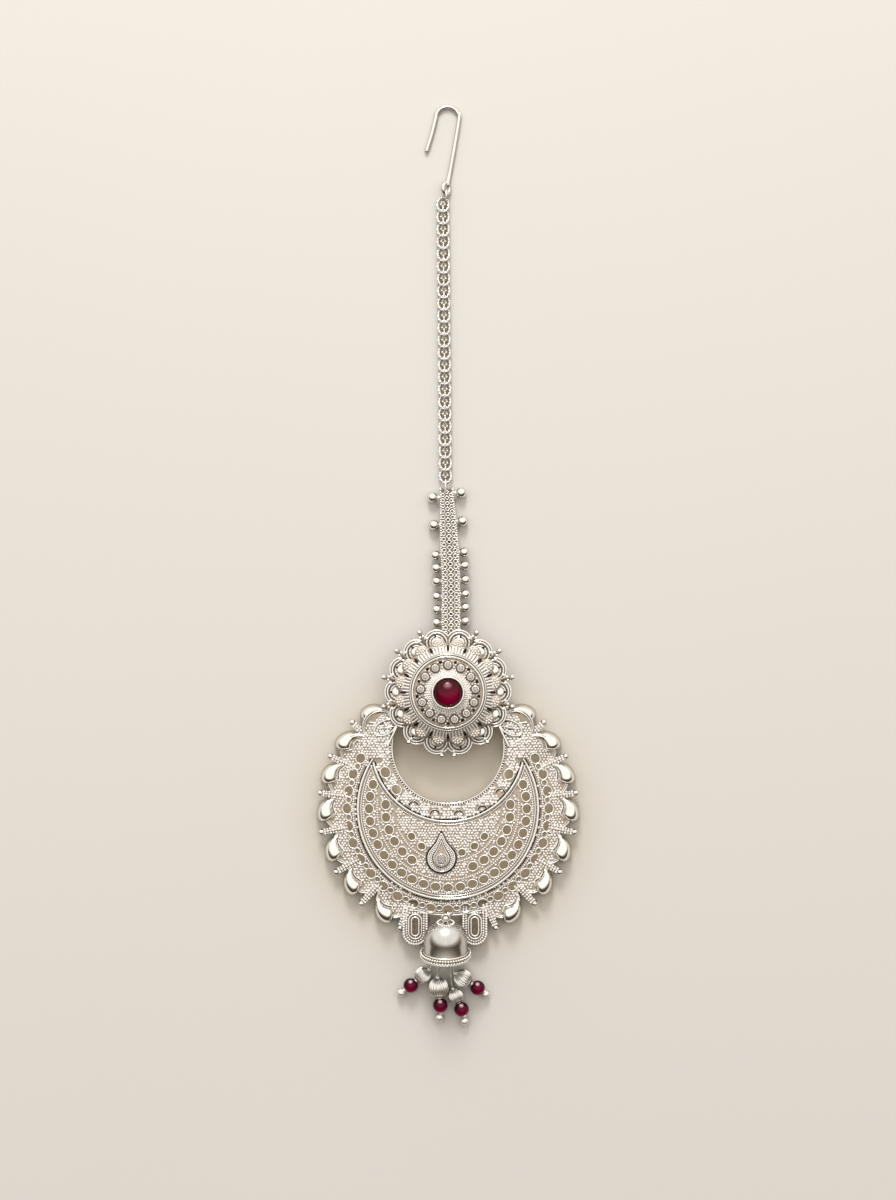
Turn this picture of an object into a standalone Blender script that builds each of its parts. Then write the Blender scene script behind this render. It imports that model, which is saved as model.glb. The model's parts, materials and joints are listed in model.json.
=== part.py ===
"""Maang tikka, a forehead jewel lying flat: hair hook, link chain, granulated strap, ruby rosette,
pierced crescent with a shell border, and a small bell with four bead drops.
Metres, +Z up. +Y runs from the drops towards the hook, and the jewel rests on z = 0."""

import math

import bmesh
import bpy
from mathutils import Matrix, Vector

MM = 0.001
GAP = 0.30 * MM  # clearance between neighbouring pieces that touch on the real jewel

# Hook and chain
HOOK_WIRE = 0.70 * MM
HOOK_TOP_Y = 76.5 * MM
HOOK_WIDTH = 4.6 * MM
HOOK_LENGTH = 15.3 * MM
EYE_WIDTH = 2.3 * MM
EYE_X = -0.3 * MM
EYE_LENGTH = 2.5 * MM
EYE_Z = 0.98 * MM
LINK_COUNT = 23
LINK_PITCH = 2.05 * MM
LINK_WIDTH = 1.86 * MM
LINK_LENGTH = 2.50 * MM
LINK_WIRE = 0.40 * MM
JOIN_LINK = 1.14 * MM
JOIN_WIRE = 0.30 * MM
LINK_TILT = math.radians(16)
CHAIN_TOP_Y = 59.8 * MM
CHAIN_Z = 0.72 * MM

# Strap
STRAP_TOP_Y = 12.4 * MM
STRAP_END_Y = -12.2 * MM
STRAP_WIDTH = 2.8 * MM
STRAP_THICKNESS = 0.9 * MM
STRAP_PIT = 0.40 * MM
STRAP_PIT_PITCH = 1.2 * MM
STRAP_BALL = 1.5 * MM
STRAP_BALL_TOP = 1.74 * MM
STRAP_BALL_X = 2.40 * MM
STEM_WIRE = 0.50 * MM
STRAP_LOOP = 2.0 * MM

# Rosette
ROSETTE_Y = -21.25 * MM
ROSETTE_Z = 3.30 * MM  # underside of the lace plate
LACE_RADIUS = 10.6 * MM
LACE_THICKNESS = 0.6 * MM
LACE_LOBES = 14
LACE_HOLE = 0.95 * MM
DOME_RADIUS = 8.2 * MM
DOME_RISE = 2.6 * MM
PETALS = 16
RING_RADIUS = 6.0 * MM
RING_WIRE = 0.6 * MM
SETTING_COUNT = 13
SETTING_RADIUS = 4.55 * MM
SETTING_WIDTH = 1.36 * MM
SETTING_HEIGHT = 0.75 * MM
SIDE_STONE = 0.84 * MM
BEZEL_RADIUS = 2.75 * MM
BEZEL_WALL = 0.36 * MM
BEZEL_HEIGHT = 1.5 * MM
RUBY_RISE = 1.5 * MM

# Crescent
CRESCENT_Y = -40.67 * MM
CRESCENT_RADIUS = 17.8 * MM
OPENING_Y = -30.5 * MM
OPENING_RADIUS = 9.15 * MM
HORN_TOP_Y = -24.9 * MM
HORN_CLIMB = 8.5 * MM  # length over which the horns rise to the rosette
PLATE_THICKNESS = 0.7 * MM
PLATE_Z = 0.9 * MM  # underside of the plate at its outer edge
PLATE_DOME = 1.3 * MM
INNER_ARC_Y = -30.0 * MM
INNER_ARC_REACH = 3.6 * MM  # outside the opening
OUTER_ARC_SHARE = 0.84  # of the crescent's radius
RELIEF_WIRE = 0.6 * MM
EDGE_WIRE = 0.55 * MM
HOLE_WIDTH = 1.40 * MM

# Border pads, shells, balls and tabs
PAD_RADIUS = 2.9 * MM  # round pads that scallop the plate's rim
PAD_REACH = 0.05 * MM  # middle of a pad inside the plate's plain rim
SHELL_PATH = 2.55 * MM  # from the middle of a pad to the middle of the shell that curls round it
SHELL_WIDTH = 3.4 * MM
SHELL_HEIGHT = 2.9 * MM
BORDER_BALL = 1.0 * MM
BORDER_BALL_REACH = 3.6 * MM  # from the plate's rim to the middle of a ball
TAB_WIDTH = 4.2 * MM
TAB_LENGTH = 5.2 * MM
TAB_REACH = 2.83 * MM  # from the plate's rim to the middle of a tab's round end
TAB_X = 4.95 * MM  # each side of the tabs' middle
TAB_MIDDLE = -0.5 * MM

# Teardrop setting
TEARDROP_X = -1.1 * MM
TEARDROP_Y = -47.8 * MM
TEARDROP_WIDTH = 4.9 * MM
TEARDROP_LENGTH = 6.9 * MM
TEARDROP_FLOOR = 0.35 * MM  # above the plate
TEARDROP_STONE = 1.6 * MM
TEARDROP_STONE_DEPTH = 0.8 * MM
STONE_PLAY = 0.08 * MM  # clearance round a stone in its setting

# Bell and drops
BELL_X = -0.4 * MM
BELL_Y = -59.0 * MM  # crown of the bell
BELL_DEPTH = 6.3 * MM
BELL_RADIUS = 3.60 * MM
BELL_RIM = 4.30 * MM
BELL_WALL = 0.45 * MM
BELL_TILT = math.radians(17)
BAR_WIRE = 0.45 * MM
BAR_DROP = 1.2 * MM  # below the bell's axis
BAR_DEPTH = 0.80  # share of the bell's depth
CROWN_RING = 1.3 * MM
POST_WIRE = 0.45 * MM
PIN_WIRE = 0.36 * MM
BEAD_BORE = 0.96 * MM
RUBY_BEAD = 2.45 * MM
SILVER_BEAD = 3.5 * MM  # the largest of the four
END_BALL = 1.5 * MM
DROPS_LENGTH = 12.0 * MM  # from the bell's mouth to just past the last ball
GROUND_PLAY = 0.02 * MM

# Colours and finishes
SILVER = (0.72, 0.69, 0.64)
RUBY_RED = (0.30, 0.004, 0.03)
CLEAR = (0.86, 0.87, 0.88)


def material(name, colour, roughness, metallic):
    made = bpy.data.materials.new(name)
    made.use_nodes = True
    made.diffuse_color = (*colour, 1.0)
    shader = made.node_tree.nodes["Principled BSDF"]
    shader.inputs["Base Color"].default_value = (*colour, 1.0)
    shader.inputs["Roughness"].default_value = roughness
    shader.inputs["Metallic"].default_value = metallic
    return made


def clear_scene():
    for obj in list(bpy.data.objects):
        bpy.data.objects.remove(obj)
    for group in list(bpy.data.collections):
        bpy.data.collections.remove(group)


def new_collection(name):
    group = bpy.data.collections.new(name)
    bpy.context.scene.collection.children.link(group)
    return group


def object_of(name, mesh, group):
    obj = bpy.data.objects.new(name, mesh)
    group.objects.link(obj)
    return obj


def from_bmesh(name, bm, group):
    bmesh.ops.recalc_face_normals(bm, faces=bm.faces)
    mesh = bpy.data.meshes.new(name)
    bm.to_mesh(mesh)
    bm.free()
    return object_of(name, mesh, group)


def baked(obj, name, group, weld=0.002 * MM):
    """The evaluated shape of a curve or of an object with modifiers, as a plain welded mesh."""
    bpy.context.view_layer.update()
    graph = bpy.context.evaluated_depsgraph_get()
    shape = obj.evaluated_get(graph)
    mesh = bpy.data.meshes.new_from_object(shape)
    mesh.transform(obj.matrix_world)
    bm = bmesh.new()
    bm.from_mesh(mesh)
    if weld:
        bmesh.ops.remove_doubles(bm, verts=bm.verts, dist=weld)
    bmesh.ops.recalc_face_normals(bm, faces=bm.faces)
    bm.to_mesh(mesh)
    bm.free()
    bpy.data.objects.remove(obj)
    return object_of(name, mesh, group)


def wire(name, points, thickness, group, closed=False, resolution=1, radii=None):
    """A round wire along the points; resolution 1 gives six sides."""
    curve = bpy.data.curves.new(name, "CURVE")
    curve.dimensions = "3D"
    curve.bevel_depth = thickness / 2
    curve.bevel_resolution = resolution
    curve.use_fill_caps = True
    spline = curve.splines.new("POLY")
    spline.points.add(len(points) - 1)
    for k, place in enumerate(points):
        spline.points[k].co = (*place, 1.0)
        if radii:
            spline.points[k].radius = radii[k]
    spline.use_cyclic_u = closed
    return baked(object_of(name, curve, group), name, group)


def lies_flat(edge):
    return all(abs(face.normal.z) > 0.9 for face in edge.link_faces)


def even_out(bm):
    faces = [face for face in bm.faces if abs(face.normal.z) > 0.9]
    edges = [edge for edge in bm.edges if lies_flat(edge)]
    bmesh.ops.beautify_fill(bm, faces=faces, edges=edges)


def flat_shape(name, outline, holes, thickness, z, group):
    """A flat plate with pierced holes, its underside at height z."""
    curve = bpy.data.curves.new(name, "CURVE")
    curve.dimensions = "2D"
    curve.fill_mode = "BOTH"
    curve.extrude = thickness / 2
    for loop in [outline, *holes]:
        spline = curve.splines.new("POLY")
        spline.points.add(len(loop) - 1)
        for k, (x, y) in enumerate(loop):
            spline.points[k].co = (x, y, 0.0, 1.0)
        spline.use_cyclic_u = True
    obj = object_of(name, curve, group)
    obj.location.z = z + thickness / 2
    plate = baked(obj, name, group)
    # Even triangles across the faces, so that a plate can be domed without long creases
    bm = bmesh.new()
    bm.from_mesh(plate.data)
    bmesh.ops.triangulate(bm, faces=bm.faces)
    even_out(bm)
    longest = 4.5 * MM
    edges = [edge for edge in bm.edges if edge.calc_length() > longest and lies_flat(edge)]
    if edges:
        bmesh.ops.subdivide_edges(bm, edges=edges, cuts=1)
        bmesh.ops.triangulate(bm, faces=bm.faces)
        even_out(bm)
    bm.to_mesh(plate.data)
    bm.free()
    return plate


def turned(name, profile, steps, group):
    """A solid of revolution about Z; the profile runs down its outer side from top to bottom."""
    mesh = bpy.data.meshes.new(name)
    mesh.from_pydata([(r, 0.0, z) for r, z in profile], [(k, k + 1) for k in range(len(profile) - 1)], [])
    obj = object_of(name, mesh, group)
    screw = obj.modifiers.new("Turn", "SCREW")
    screw.steps = steps
    screw.render_steps = steps
    screw.use_merge_vertices = True
    screw.merge_threshold = 0.00001
    return baked(obj, name, group)


def ball(name, centre, diameter, group, segments=8, rings=5):
    bm = bmesh.new()
    bmesh.ops.create_uvsphere(bm, u_segments=segments, v_segments=rings, radius=diameter / 2)
    bmesh.ops.translate(bm, verts=bm.verts, vec=Vector(centre))
    return from_bmesh(name, bm, group)


def link(name, width, length, thickness, place, sides, around, group):
    """An oval wire link; width and length are measured along the middle of the wire."""
    bm = bmesh.new()
    rings = []
    for j in range(around):
        a = 2 * math.pi * j / around
        ring = []
        for k in range(sides):
            b = 2 * math.pi * k / sides
            reach = thickness / 2 * math.cos(b)
            x = (width / 2 + reach) * math.cos(a)
            y = (length / 2 + reach) * math.sin(a)
            ring.append(bm.verts.new((x, y, thickness / 2 * math.sin(b))))
        rings.append(ring)
    for j in range(around):
        for k in range(sides):
            here = rings[j]
            after = rings[(j + 1) % around]
            bm.faces.new((here[k], after[k], after[(k + 1) % sides], here[(k + 1) % sides]))
    bm.transform(place)
    return from_bmesh(name, bm, group)


def fused(name, pieces, group, keep=1.0):
    """One solid made of all the pieces; keep is the share of its triangles that stays."""
    base = pieces[0]
    operands = bpy.data.collections.new("operands")
    bpy.context.scene.collection.children.link(operands)
    for piece in pieces[1:]:
        for user in list(piece.users_collection):
            user.objects.unlink(piece)
        operands.objects.link(piece)
    union = base.modifiers.new("Fuse", "BOOLEAN")
    union.operation = "UNION"
    union.solver = "EXACT"
    union.operand_type = "COLLECTION"
    union.collection = operands
    whole = baked(base, name, group)
    for piece in list(operands.objects):
        bpy.data.objects.remove(piece)
    bpy.data.collections.remove(operands)
    if keep < 1.0:
        fewer = whole.modifiers.new("Fewer", "DECIMATE")
        fewer.ratio = keep
        whole = baked(whole, name, group, 0.0)
    return whole


def circle(radius, count, centre=(0.0, 0.0), start=0.0):
    turns = [start + 2 * math.pi * k / count for k in range(count)]
    return [(centre[0] + radius * math.cos(a), centre[1] + radius * math.sin(a)) for a in turns]


def arc(radius, centre, first, last, count):
    """Points of an arc from one angle in degrees to another."""
    turns = [math.radians(first + (last - first) * k / (count - 1)) for k in range(count)]
    return [(centre[0] + radius * math.cos(a), centre[1] + radius * math.sin(a)) for a in turns]


# Strap height: it slopes from the rosette down to the chain
def strap_z(y):
    share = min(1.0, max(0.0, (STRAP_TOP_Y - y) / (STRAP_TOP_Y - STRAP_END_Y)))
    return 0.25 * MM + (ROSETTE_Z - STRAP_THICKNESS - GAP - 0.25 * MM) * share ** 1.6


# Crescent height: highest along the middle of the band, falling to the rim and a little to the opening
def plate_z(x, y):
    out = math.hypot(x, y - CRESCENT_Y)
    share = min(1.0, max(0.0, (CRESCENT_RADIUS + 0.8 * MM - out) / (0.45 * CRESCENT_RADIUS)))
    # The horns rise to a flat land just below the rosette
    climb = min(1.0, max(0.0, (y - HORN_TOP_Y) / HORN_CLIMB + 1.0))
    seat = ROSETTE_Z - GAP - PLATE_THICKNESS
    return min(seat, PLATE_Z + PLATE_DOME * math.sin(share * math.pi / 2) + (seat - PLATE_Z) * climb)


def on_plate(points, lift):
    return [(x, y, plate_z(x, y) + PLATE_THICKNESS + lift) for x, y in points]


def follow(obj, height):
    """Raises every point of a flat piece by the height function."""
    for vertex in obj.data.vertices:
        vertex.co.z += height(vertex.co.x, vertex.co.y)


def eye_y():
    return HOOK_TOP_Y - HOOK_LENGTH + EYE_LENGTH / 2


def build_hook(group):
    low = HOOK_WIRE / 2
    bend = HOOK_WIDTH / 2 - low
    bend_y = HOOK_TOP_Y - HOOK_WIDTH / 2
    bend_x = -0.09 * MM
    # The free end flares outwards
    points = [(bend_x - bend - 1.5 * MM, bend_y - 5.4 * MM, low)]
    points.append((bend_x - bend - 0.65 * MM, bend_y - 2.6 * MM, low))
    for x, y in arc(bend, (bend_x, bend_y), 180, 2, 9):
        points.append((x, y, low))
    points.append((1.15 * MM, bend_y - 4.4 * MM, low))
    points.append((0.30 * MM, eye_y() + EYE_LENGTH / 2 + 1.4 * MM, low))
    turn = math.radians(50)
    # The eye is turned out of the plane of the hook, and its end stops just short of the shank
    for x, y in arc(1.0, (0.0, 0.0), 62, -246, 13):
        side = x * (EYE_WIDTH - HOOK_WIRE) / 2
        along = y * (EYE_LENGTH - HOOK_WIRE) / 2
        points.append((EYE_X + side * math.cos(turn), eye_y() + along, EYE_Z - side * math.sin(turn)))
    return wire("hook", points, HOOK_WIRE, group)


def build_chain(group):
    pieces = []
    for k in range(LINK_COUNT):
        y = CHAIN_TOP_Y - k * LINK_PITCH
        x = chain_x(y)
        place = Matrix.Translation((x, y, CHAIN_Z)) @ Matrix.Rotation(-LINK_TILT, 4, "X")
        pieces.append(link(f"link_{k}", LINK_WIDTH, LINK_LENGTH, LINK_WIRE, place, 5, 10, group))
    for k in range(LINK_COUNT - 1):
        y = CHAIN_TOP_Y - (k + 0.5) * LINK_PITCH
        place = Matrix.Translation((chain_x(y), y, CHAIN_Z)) @ Matrix.Rotation(math.pi / 2, 4, "Y")
        pieces.append(link(f"join_{k}", JOIN_LINK, JOIN_LINK, JOIN_WIRE, place, 4, 8, group))
    # The first upright link is larger: it passes round the wire of the hook's eye
    y = eye_y() - EYE_LENGTH / 2 + 0.15 * MM
    place = Matrix.Translation((EYE_X, y, EYE_Z - 0.06 * MM)) @ Matrix.Rotation(math.pi / 2, 4, "Y")
    pieces.append(link("eye_link", 1.38 * MM, 1.75 * MM, JOIN_WIRE, place, 5, 12, group))
    return fused("chain", pieces, group, 0.70)


def chain_x(y):
    """The chain bows a little to the left halfway down."""
    share = (CHAIN_TOP_Y - y) / (LINK_COUNT * LINK_PITCH)
    return (-0.85 + 0.45 * share) * MM


def build_strap(group):
    half = STRAP_WIDTH / 2
    length = STRAP_TOP_Y - STRAP_END_Y
    rows = 16

    def strap_half(share):
        return half * (0.72 + 0.28 * min(1.0, share / 0.35))

    def middle(y):
        return (-0.25 + 0.75 * min(1.0, (STRAP_TOP_Y - y) / (0.6 * length))) * MM

    left = []
    right = []
    for k in range(rows + 1):
        share = k / rows
        y = STRAP_TOP_Y - share * length
        left.append((middle(y) - strap_half(share), y))
        right.append((middle(y) + strap_half(share), y))
    pits = []
    count = int((length - 1.6 * STRAP_PIT_PITCH) / STRAP_PIT_PITCH)
    for k in range(count):
        y = STRAP_TOP_Y - (k + 1.3) * STRAP_PIT_PITCH
        pits.append(circle(STRAP_PIT / 2, 4, (middle(y), y)))
    plate = flat_shape("strap_plate", left + right[::-1], pits, STRAP_THICKNESS, 0.0, group)
    follow(plate, lambda x, y: strap_z(y))
    pieces = [plate]
    # Side balls as shares of the strap's length; the first two pairs are larger and stand apart
    left_balls = (0.055, 0.242, 0.446, 0.533, 0.624, 0.726, 0.815, 0.903)
    right_balls = (0.024, 0.216, 0.426, 0.517, 0.613, 0.709, 0.800, 0.892)
    for side, shares in ((-1, left_balls), (1, right_balls)):
        for k, share in enumerate(shares):
            size = STRAP_BALL_TOP if k < 2 else STRAP_BALL
            y = STRAP_TOP_Y - share * length
            z = max(strap_z(y) + STRAP_THICKNESS / 2, size / 2)
            x = middle(y) + side * STRAP_BALL_X
            pieces.append(ball(f"strap_ball_{side}_{k}", (x, y, z), size, group, 6, 4))
            inner = (middle(y) + side * 0.5 * half, y, z)
            pieces.append(wire(f"stem_{side}_{k}", [(x, y, z), inner], STEM_WIRE, group, resolution=0))
    # An upright loop at the top end passes round the lower end of the last chain link
    last_y = CHAIN_TOP_Y - (LINK_COUNT - 1) * LINK_PITCH - LINK_LENGTH / 2
    loop_z = CHAIN_Z + LINK_LENGTH / 2 * math.sin(LINK_TILT)
    place = Matrix.Translation((chain_x(last_y), last_y - 0.5 * MM, loop_z))
    place = place @ Matrix.Rotation(math.pi / 2, 4, "Y")
    pieces.append(link("loop", 0.62 * STRAP_LOOP, STRAP_LOOP, JOIN_WIRE, place, 5, 10, group))
    return fused("strap", pieces, group, 0.88)


def place_on_rosette(obj, z):
    obj.location = (0.0, ROSETTE_Y, z)
    bpy.context.view_layer.update()
    obj.data.transform(obj.matrix_world)
    obj.location = (0.0, 0.0, 0.0)
    return obj


def dome_profile():
    """Outer side of the rosette's dome: heights above the lace plate's underside, from the bezel down."""
    top = LACE_THICKNESS + DOME_RISE
    return [
        (0.0, top),
        (0.30 * DOME_RADIUS, top),
        (0.44 * DOME_RADIUS, top - 0.20 * MM),
        (0.68 * DOME_RADIUS, top - 0.45 * MM),
        (0.80 * DOME_RADIUS, top - 0.70 * MM),
        (0.90 * DOME_RADIUS, top - 1.30 * MM),
        (1.00 * DOME_RADIUS, LACE_THICKNESS * 0.5 + 0.5 * MM),
        (0.97 * DOME_RADIUS, LACE_THICKNESS * 0.4),
        (0.0, LACE_THICKNESS * 0.4),
    ]


def build_rosette(group):
    # Lobed lace plate, one pierced hole in each lobe
    outline = []
    per_lobe = 6
    for k in range(LACE_LOBES):
        for j in range(per_lobe):
            a = math.pi / 2 + 2 * math.pi * (k + j / per_lobe) / LACE_LOBES
            bulge = math.sin(math.pi * j / per_lobe) ** 0.6
            reach = LACE_RADIUS * (0.90 + 0.10 * bulge)
            outline.append((reach * math.cos(a), reach * math.sin(a)))
    holes = []
    for k in range(LACE_LOBES):
        a = math.pi / 2 + 2 * math.pi * (k + 0.5) / LACE_LOBES
        seat = 0.89 * LACE_RADIUS
        holes.append(circle(LACE_HOLE / 2, 6, (seat * math.cos(a), seat * math.sin(a)), a))
    plate = place_on_rosette(flat_shape("lace", outline, holes, LACE_THICKNESS, 0.0, group), ROSETTE_Z)
    # Fluted dome: each petal is a pair of steps round the turn, the odd ones standing proud
    dome = turned("dome", dome_profile(), PETALS * 2, group)
    for vertex in dome.data.vertices:
        r = math.hypot(vertex.co.x, vertex.co.y)
        if r > 0.75 * DOME_RADIUS:
            turn = math.atan2(vertex.co.y, vertex.co.x) * PETALS
            swell = 1.0 - 0.035 * (1 + math.cos(turn))
            vertex.co.x *= swell
            vertex.co.y *= swell
    place_on_rosette(dome, ROSETTE_Z)
    pieces = [plate, dome]
    dome_top = ROSETTE_Z + LACE_THICKNESS + DOME_RISE
    ring = [(x, y + ROSETTE_Y, dome_top - 0.40 * MM) for x, y in circle(RING_RADIUS, 24)]
    pieces.append(wire("ring", ring, RING_WIRE, group, closed=True, resolution=0))
    # Small settings round the main stone: open cups that hold the side stones
    for k in range(SETTING_COUNT):
        x, y = setting_place(k)
        cup = turned(f"setting_{k}", [
            (0.0, -0.35 * MM),
            (SIDE_STONE / 2 - 0.08 * MM, -0.35 * MM),
            (SIDE_STONE / 2 + 0.08 * MM, 0.0),
            (SETTING_WIDTH / 2, -0.10 * MM),
            (SETTING_WIDTH / 2, -SETTING_HEIGHT),
            (0.0, -SETTING_HEIGHT),
        ], 8, group)
        cup.data.transform(Matrix.Translation((x, y, setting_top())))
        pieces.append(cup)
    wall = BEZEL_RADIUS - BEZEL_WALL
    bezel = turned("bezel", [
        (0.0, -0.62 * BEZEL_HEIGHT),
        (wall, -0.62 * BEZEL_HEIGHT),
        (wall, -0.05 * MM),
        (BEZEL_RADIUS, -0.05 * MM),
        (BEZEL_RADIUS, -0.55 * BEZEL_HEIGHT),
        (BEZEL_RADIUS + 0.45 * MM, -BEZEL_HEIGHT),
        (0.0, -BEZEL_HEIGHT),
    ], 20, group)
    place_on_rosette(bezel, bezel_top())
    pieces.append(bezel)
    # Small balls in the notches of the lace plate
    for k in range(LACE_LOBES):
        a = math.pi / 2 + 2 * math.pi * k / LACE_LOBES
        low_half = math.sin(a) < -0.35
        if k == 0 or low_half:
            continue
        reach = 1.03 * LACE_RADIUS
        place = (reach * math.cos(a), ROSETTE_Y + reach * math.sin(a), ROSETTE_Z + LACE_THICKNESS / 2)
        pieces.append(ball(f"lace_ball_{k}", place, 0.95 * MM, group, 6, 4))
        inner = (0.86 * place[0], ROSETTE_Y + 0.86 * (place[1] - ROSETTE_Y), place[2])
        pieces.append(wire(f"lace_stem_{k}", [place, inner], 0.45 * MM, group, resolution=0))
    return fused("rosette", pieces, group, 0.68)


def setting_place(k):
    a = math.pi / 2 + 2 * math.pi * k / SETTING_COUNT
    return SETTING_RADIUS * math.cos(a), ROSETTE_Y + SETTING_RADIUS * math.sin(a)


def setting_top():
    return ROSETTE_Z + LACE_THICKNESS + DOME_RISE + 0.25 * MM


def bezel_top():
    return ROSETTE_Z + LACE_THICKNESS + DOME_RISE + BEZEL_HEIGHT - 0.3 * MM


def build_ruby(group):
    radius = BEZEL_RADIUS - BEZEL_WALL - 0.10 * MM
    low = -0.62 * BEZEL_HEIGHT + 0.12 * MM
    rise = RUBY_RISE
    profile = []
    for k in range(5):
        a = math.pi / 2 * (1 - k / 4)
        reach = radius * math.cos(a) if k else 0.0
        profile.append((reach, low + 0.45 * MM + (rise - 0.2 * MM) * math.sin(a)))
    profile += [(radius, low), (0.0, low)]
    return place_on_rosette(turned("ruby", profile, 20, group), bezel_top())


def cut_stone(name, place, width, depth, group):
    """A round cut stone: a flat table, eight crown facets, a girdle and a shallow pavilion."""
    profile = [
        (0.0, depth * 0.5),
        (width * 0.28, depth * 0.5),
        (width * 0.5, depth * 0.12),
        (width * 0.5, -depth * 0.05),
        (width * 0.25, -depth * 0.5),
        (0.0, -depth * 0.5),
    ]
    stone = turned(name, profile, 8, group)
    stone.data.transform(Matrix.Translation(place))
    return stone


def pierced_rows():
    """Rows of pierced holes, concentric with the rim: share of the radius, first and last angle in
    degrees, count, width as a share of the common hole width."""
    rows = (
        (0.940, 150, 390, 25, 1.00),
        (0.735, 162, 378, 25, 0.95),
        (0.582, 176, 364, 17, 0.95),
        (0.425, 217, 323, 7, 0.75),
    )
    holes = []
    for share, first, last, count, width in rows:
        for k in range(count):
            degrees = first + (last - first) * k / (count - 1)
            # The two inner rows leave room for the teardrop setting
            if share < 0.7 and abs(degrees - 266) < 20:
                continue
            a = math.radians(degrees)
            reach = share * CRESCENT_RADIUS
            x = reach * math.cos(a)
            y = CRESCENT_Y + reach * math.sin(a)
            holes.append(circle(width * HOLE_WIDTH / 2, 6, (x, y), a))
    # Three openings in the granulated band beside the rosette
    for degrees, reach, width in ((204, 0.89, 1.1), (221, 0.89, 1.0), (334, 0.88, 1.05)):
        a = math.radians(degrees)
        x = reach * (OPENING_RADIUS + INNER_ARC_REACH) * math.cos(a)
        y = INNER_ARC_Y + reach * (OPENING_RADIUS + INNER_ARC_REACH) * math.sin(a)
        holes.append(circle(width * HOLE_WIDTH / 2, 6, (x, y), a))
    return holes


def border_angles():
    """Directions of the seven pads of the left side, in degrees; the right side mirrors them."""
    return (129.5, 147.5, 164.5, 182.0, 201.0, 219.0, 239.5)


def rim_reach(degrees):
    """How far the rim stands from the crescent's centre: a round pad widens it at each shell."""
    reach = CRESCENT_RADIUS
    ring = CRESCENT_RADIUS - PAD_REACH
    for left in border_angles():
        for pad in (left, 540 - left):
            lean = math.radians(degrees - pad)
            across = ring * math.sin(lean)
            if abs(across) < PAD_RADIUS and math.cos(lean) > 0:
                reach = max(reach, ring * math.cos(lean) + math.sqrt(PAD_RADIUS ** 2 - across ** 2))
    return reach


def crescent_outline():
    """Scalloped rim of the crescent, then the opening back between the horns."""
    rim = []
    first, last, count = 118, 422, 96
    for k in range(count + 1):
        degrees = first + (last - first) * k / count
        a = math.radians(degrees)
        reach = rim_reach(degrees)
        rim.append((reach * math.cos(a), CRESCENT_Y + reach * math.sin(a)))
    rise = math.degrees(math.asin((HORN_TOP_Y - OPENING_Y) / OPENING_RADIUS))
    back = arc(OPENING_RADIUS, (0.0, OPENING_Y), rise, -180 - rise, 26)
    return rim + back


def shell(name, side, degrees, group):
    """A polished comma with a flat back that curls round the outer side of a pad, broad at its end."""
    bm = bmesh.new()
    rings = []
    half_turn = [math.radians(turn) for turn in (0, 36, 72, 108, 144, 180)]
    for share in (0.0, 0.2, 0.42, 0.64, 0.84, 1.0):
        width = SHELL_WIDTH / 2 * shell_swell(share)
        a = math.radians(degrees)
        ring = CRESCENT_RADIUS - PAD_REACH
        b = math.radians(degrees - 65 + 92 * share)
        ahead = Vector((-math.cos(b), math.sin(b))) if side > 0 else Vector((math.cos(b), math.sin(b)))
        centre = Vector((-side * ring * math.cos(a), CRESCENT_Y + ring * math.sin(a))) + ahead * SHELL_PATH
        # The tail is as high as the plate that it is soldered to
        root = (plate_z(*centre) + 0.7 * PLATE_THICKNESS) * (1.0 - 0.5 * share)
        height = max(root, SHELL_HEIGHT * (0.50 + 0.50 * shell_swell(share)))
        points = []
        for turn in half_turn:
            across = ahead * width * math.cos(turn)
            points.append(bm.verts.new((centre.x + across.x, centre.y + across.y, height * math.sin(turn))))
        rings.append(points)
    for here, after in zip(rings, rings[1:]):
        for j in range(len(here) - 1):
            bm.faces.new((here[j], here[j + 1], after[j + 1], after[j]))
        bm.faces.new((here[-1], here[0], after[0], after[-1]))
    bm.faces.new(rings[0])
    bm.faces.new(rings[-1][::-1])
    return from_bmesh(name, bm, group)


def shell_swell(share):
    """Width of a shell along its length: a narrow tail, the widest place at four fifths, a round end."""
    if share < 0.8:
        return 0.30 + 0.70 * math.sin(math.pi / 2 * share / 0.8) ** 1.3
    return 0.40 + 0.60 * math.cos(math.pi / 2 * (share - 0.8) / 0.2) ** 0.7


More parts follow.
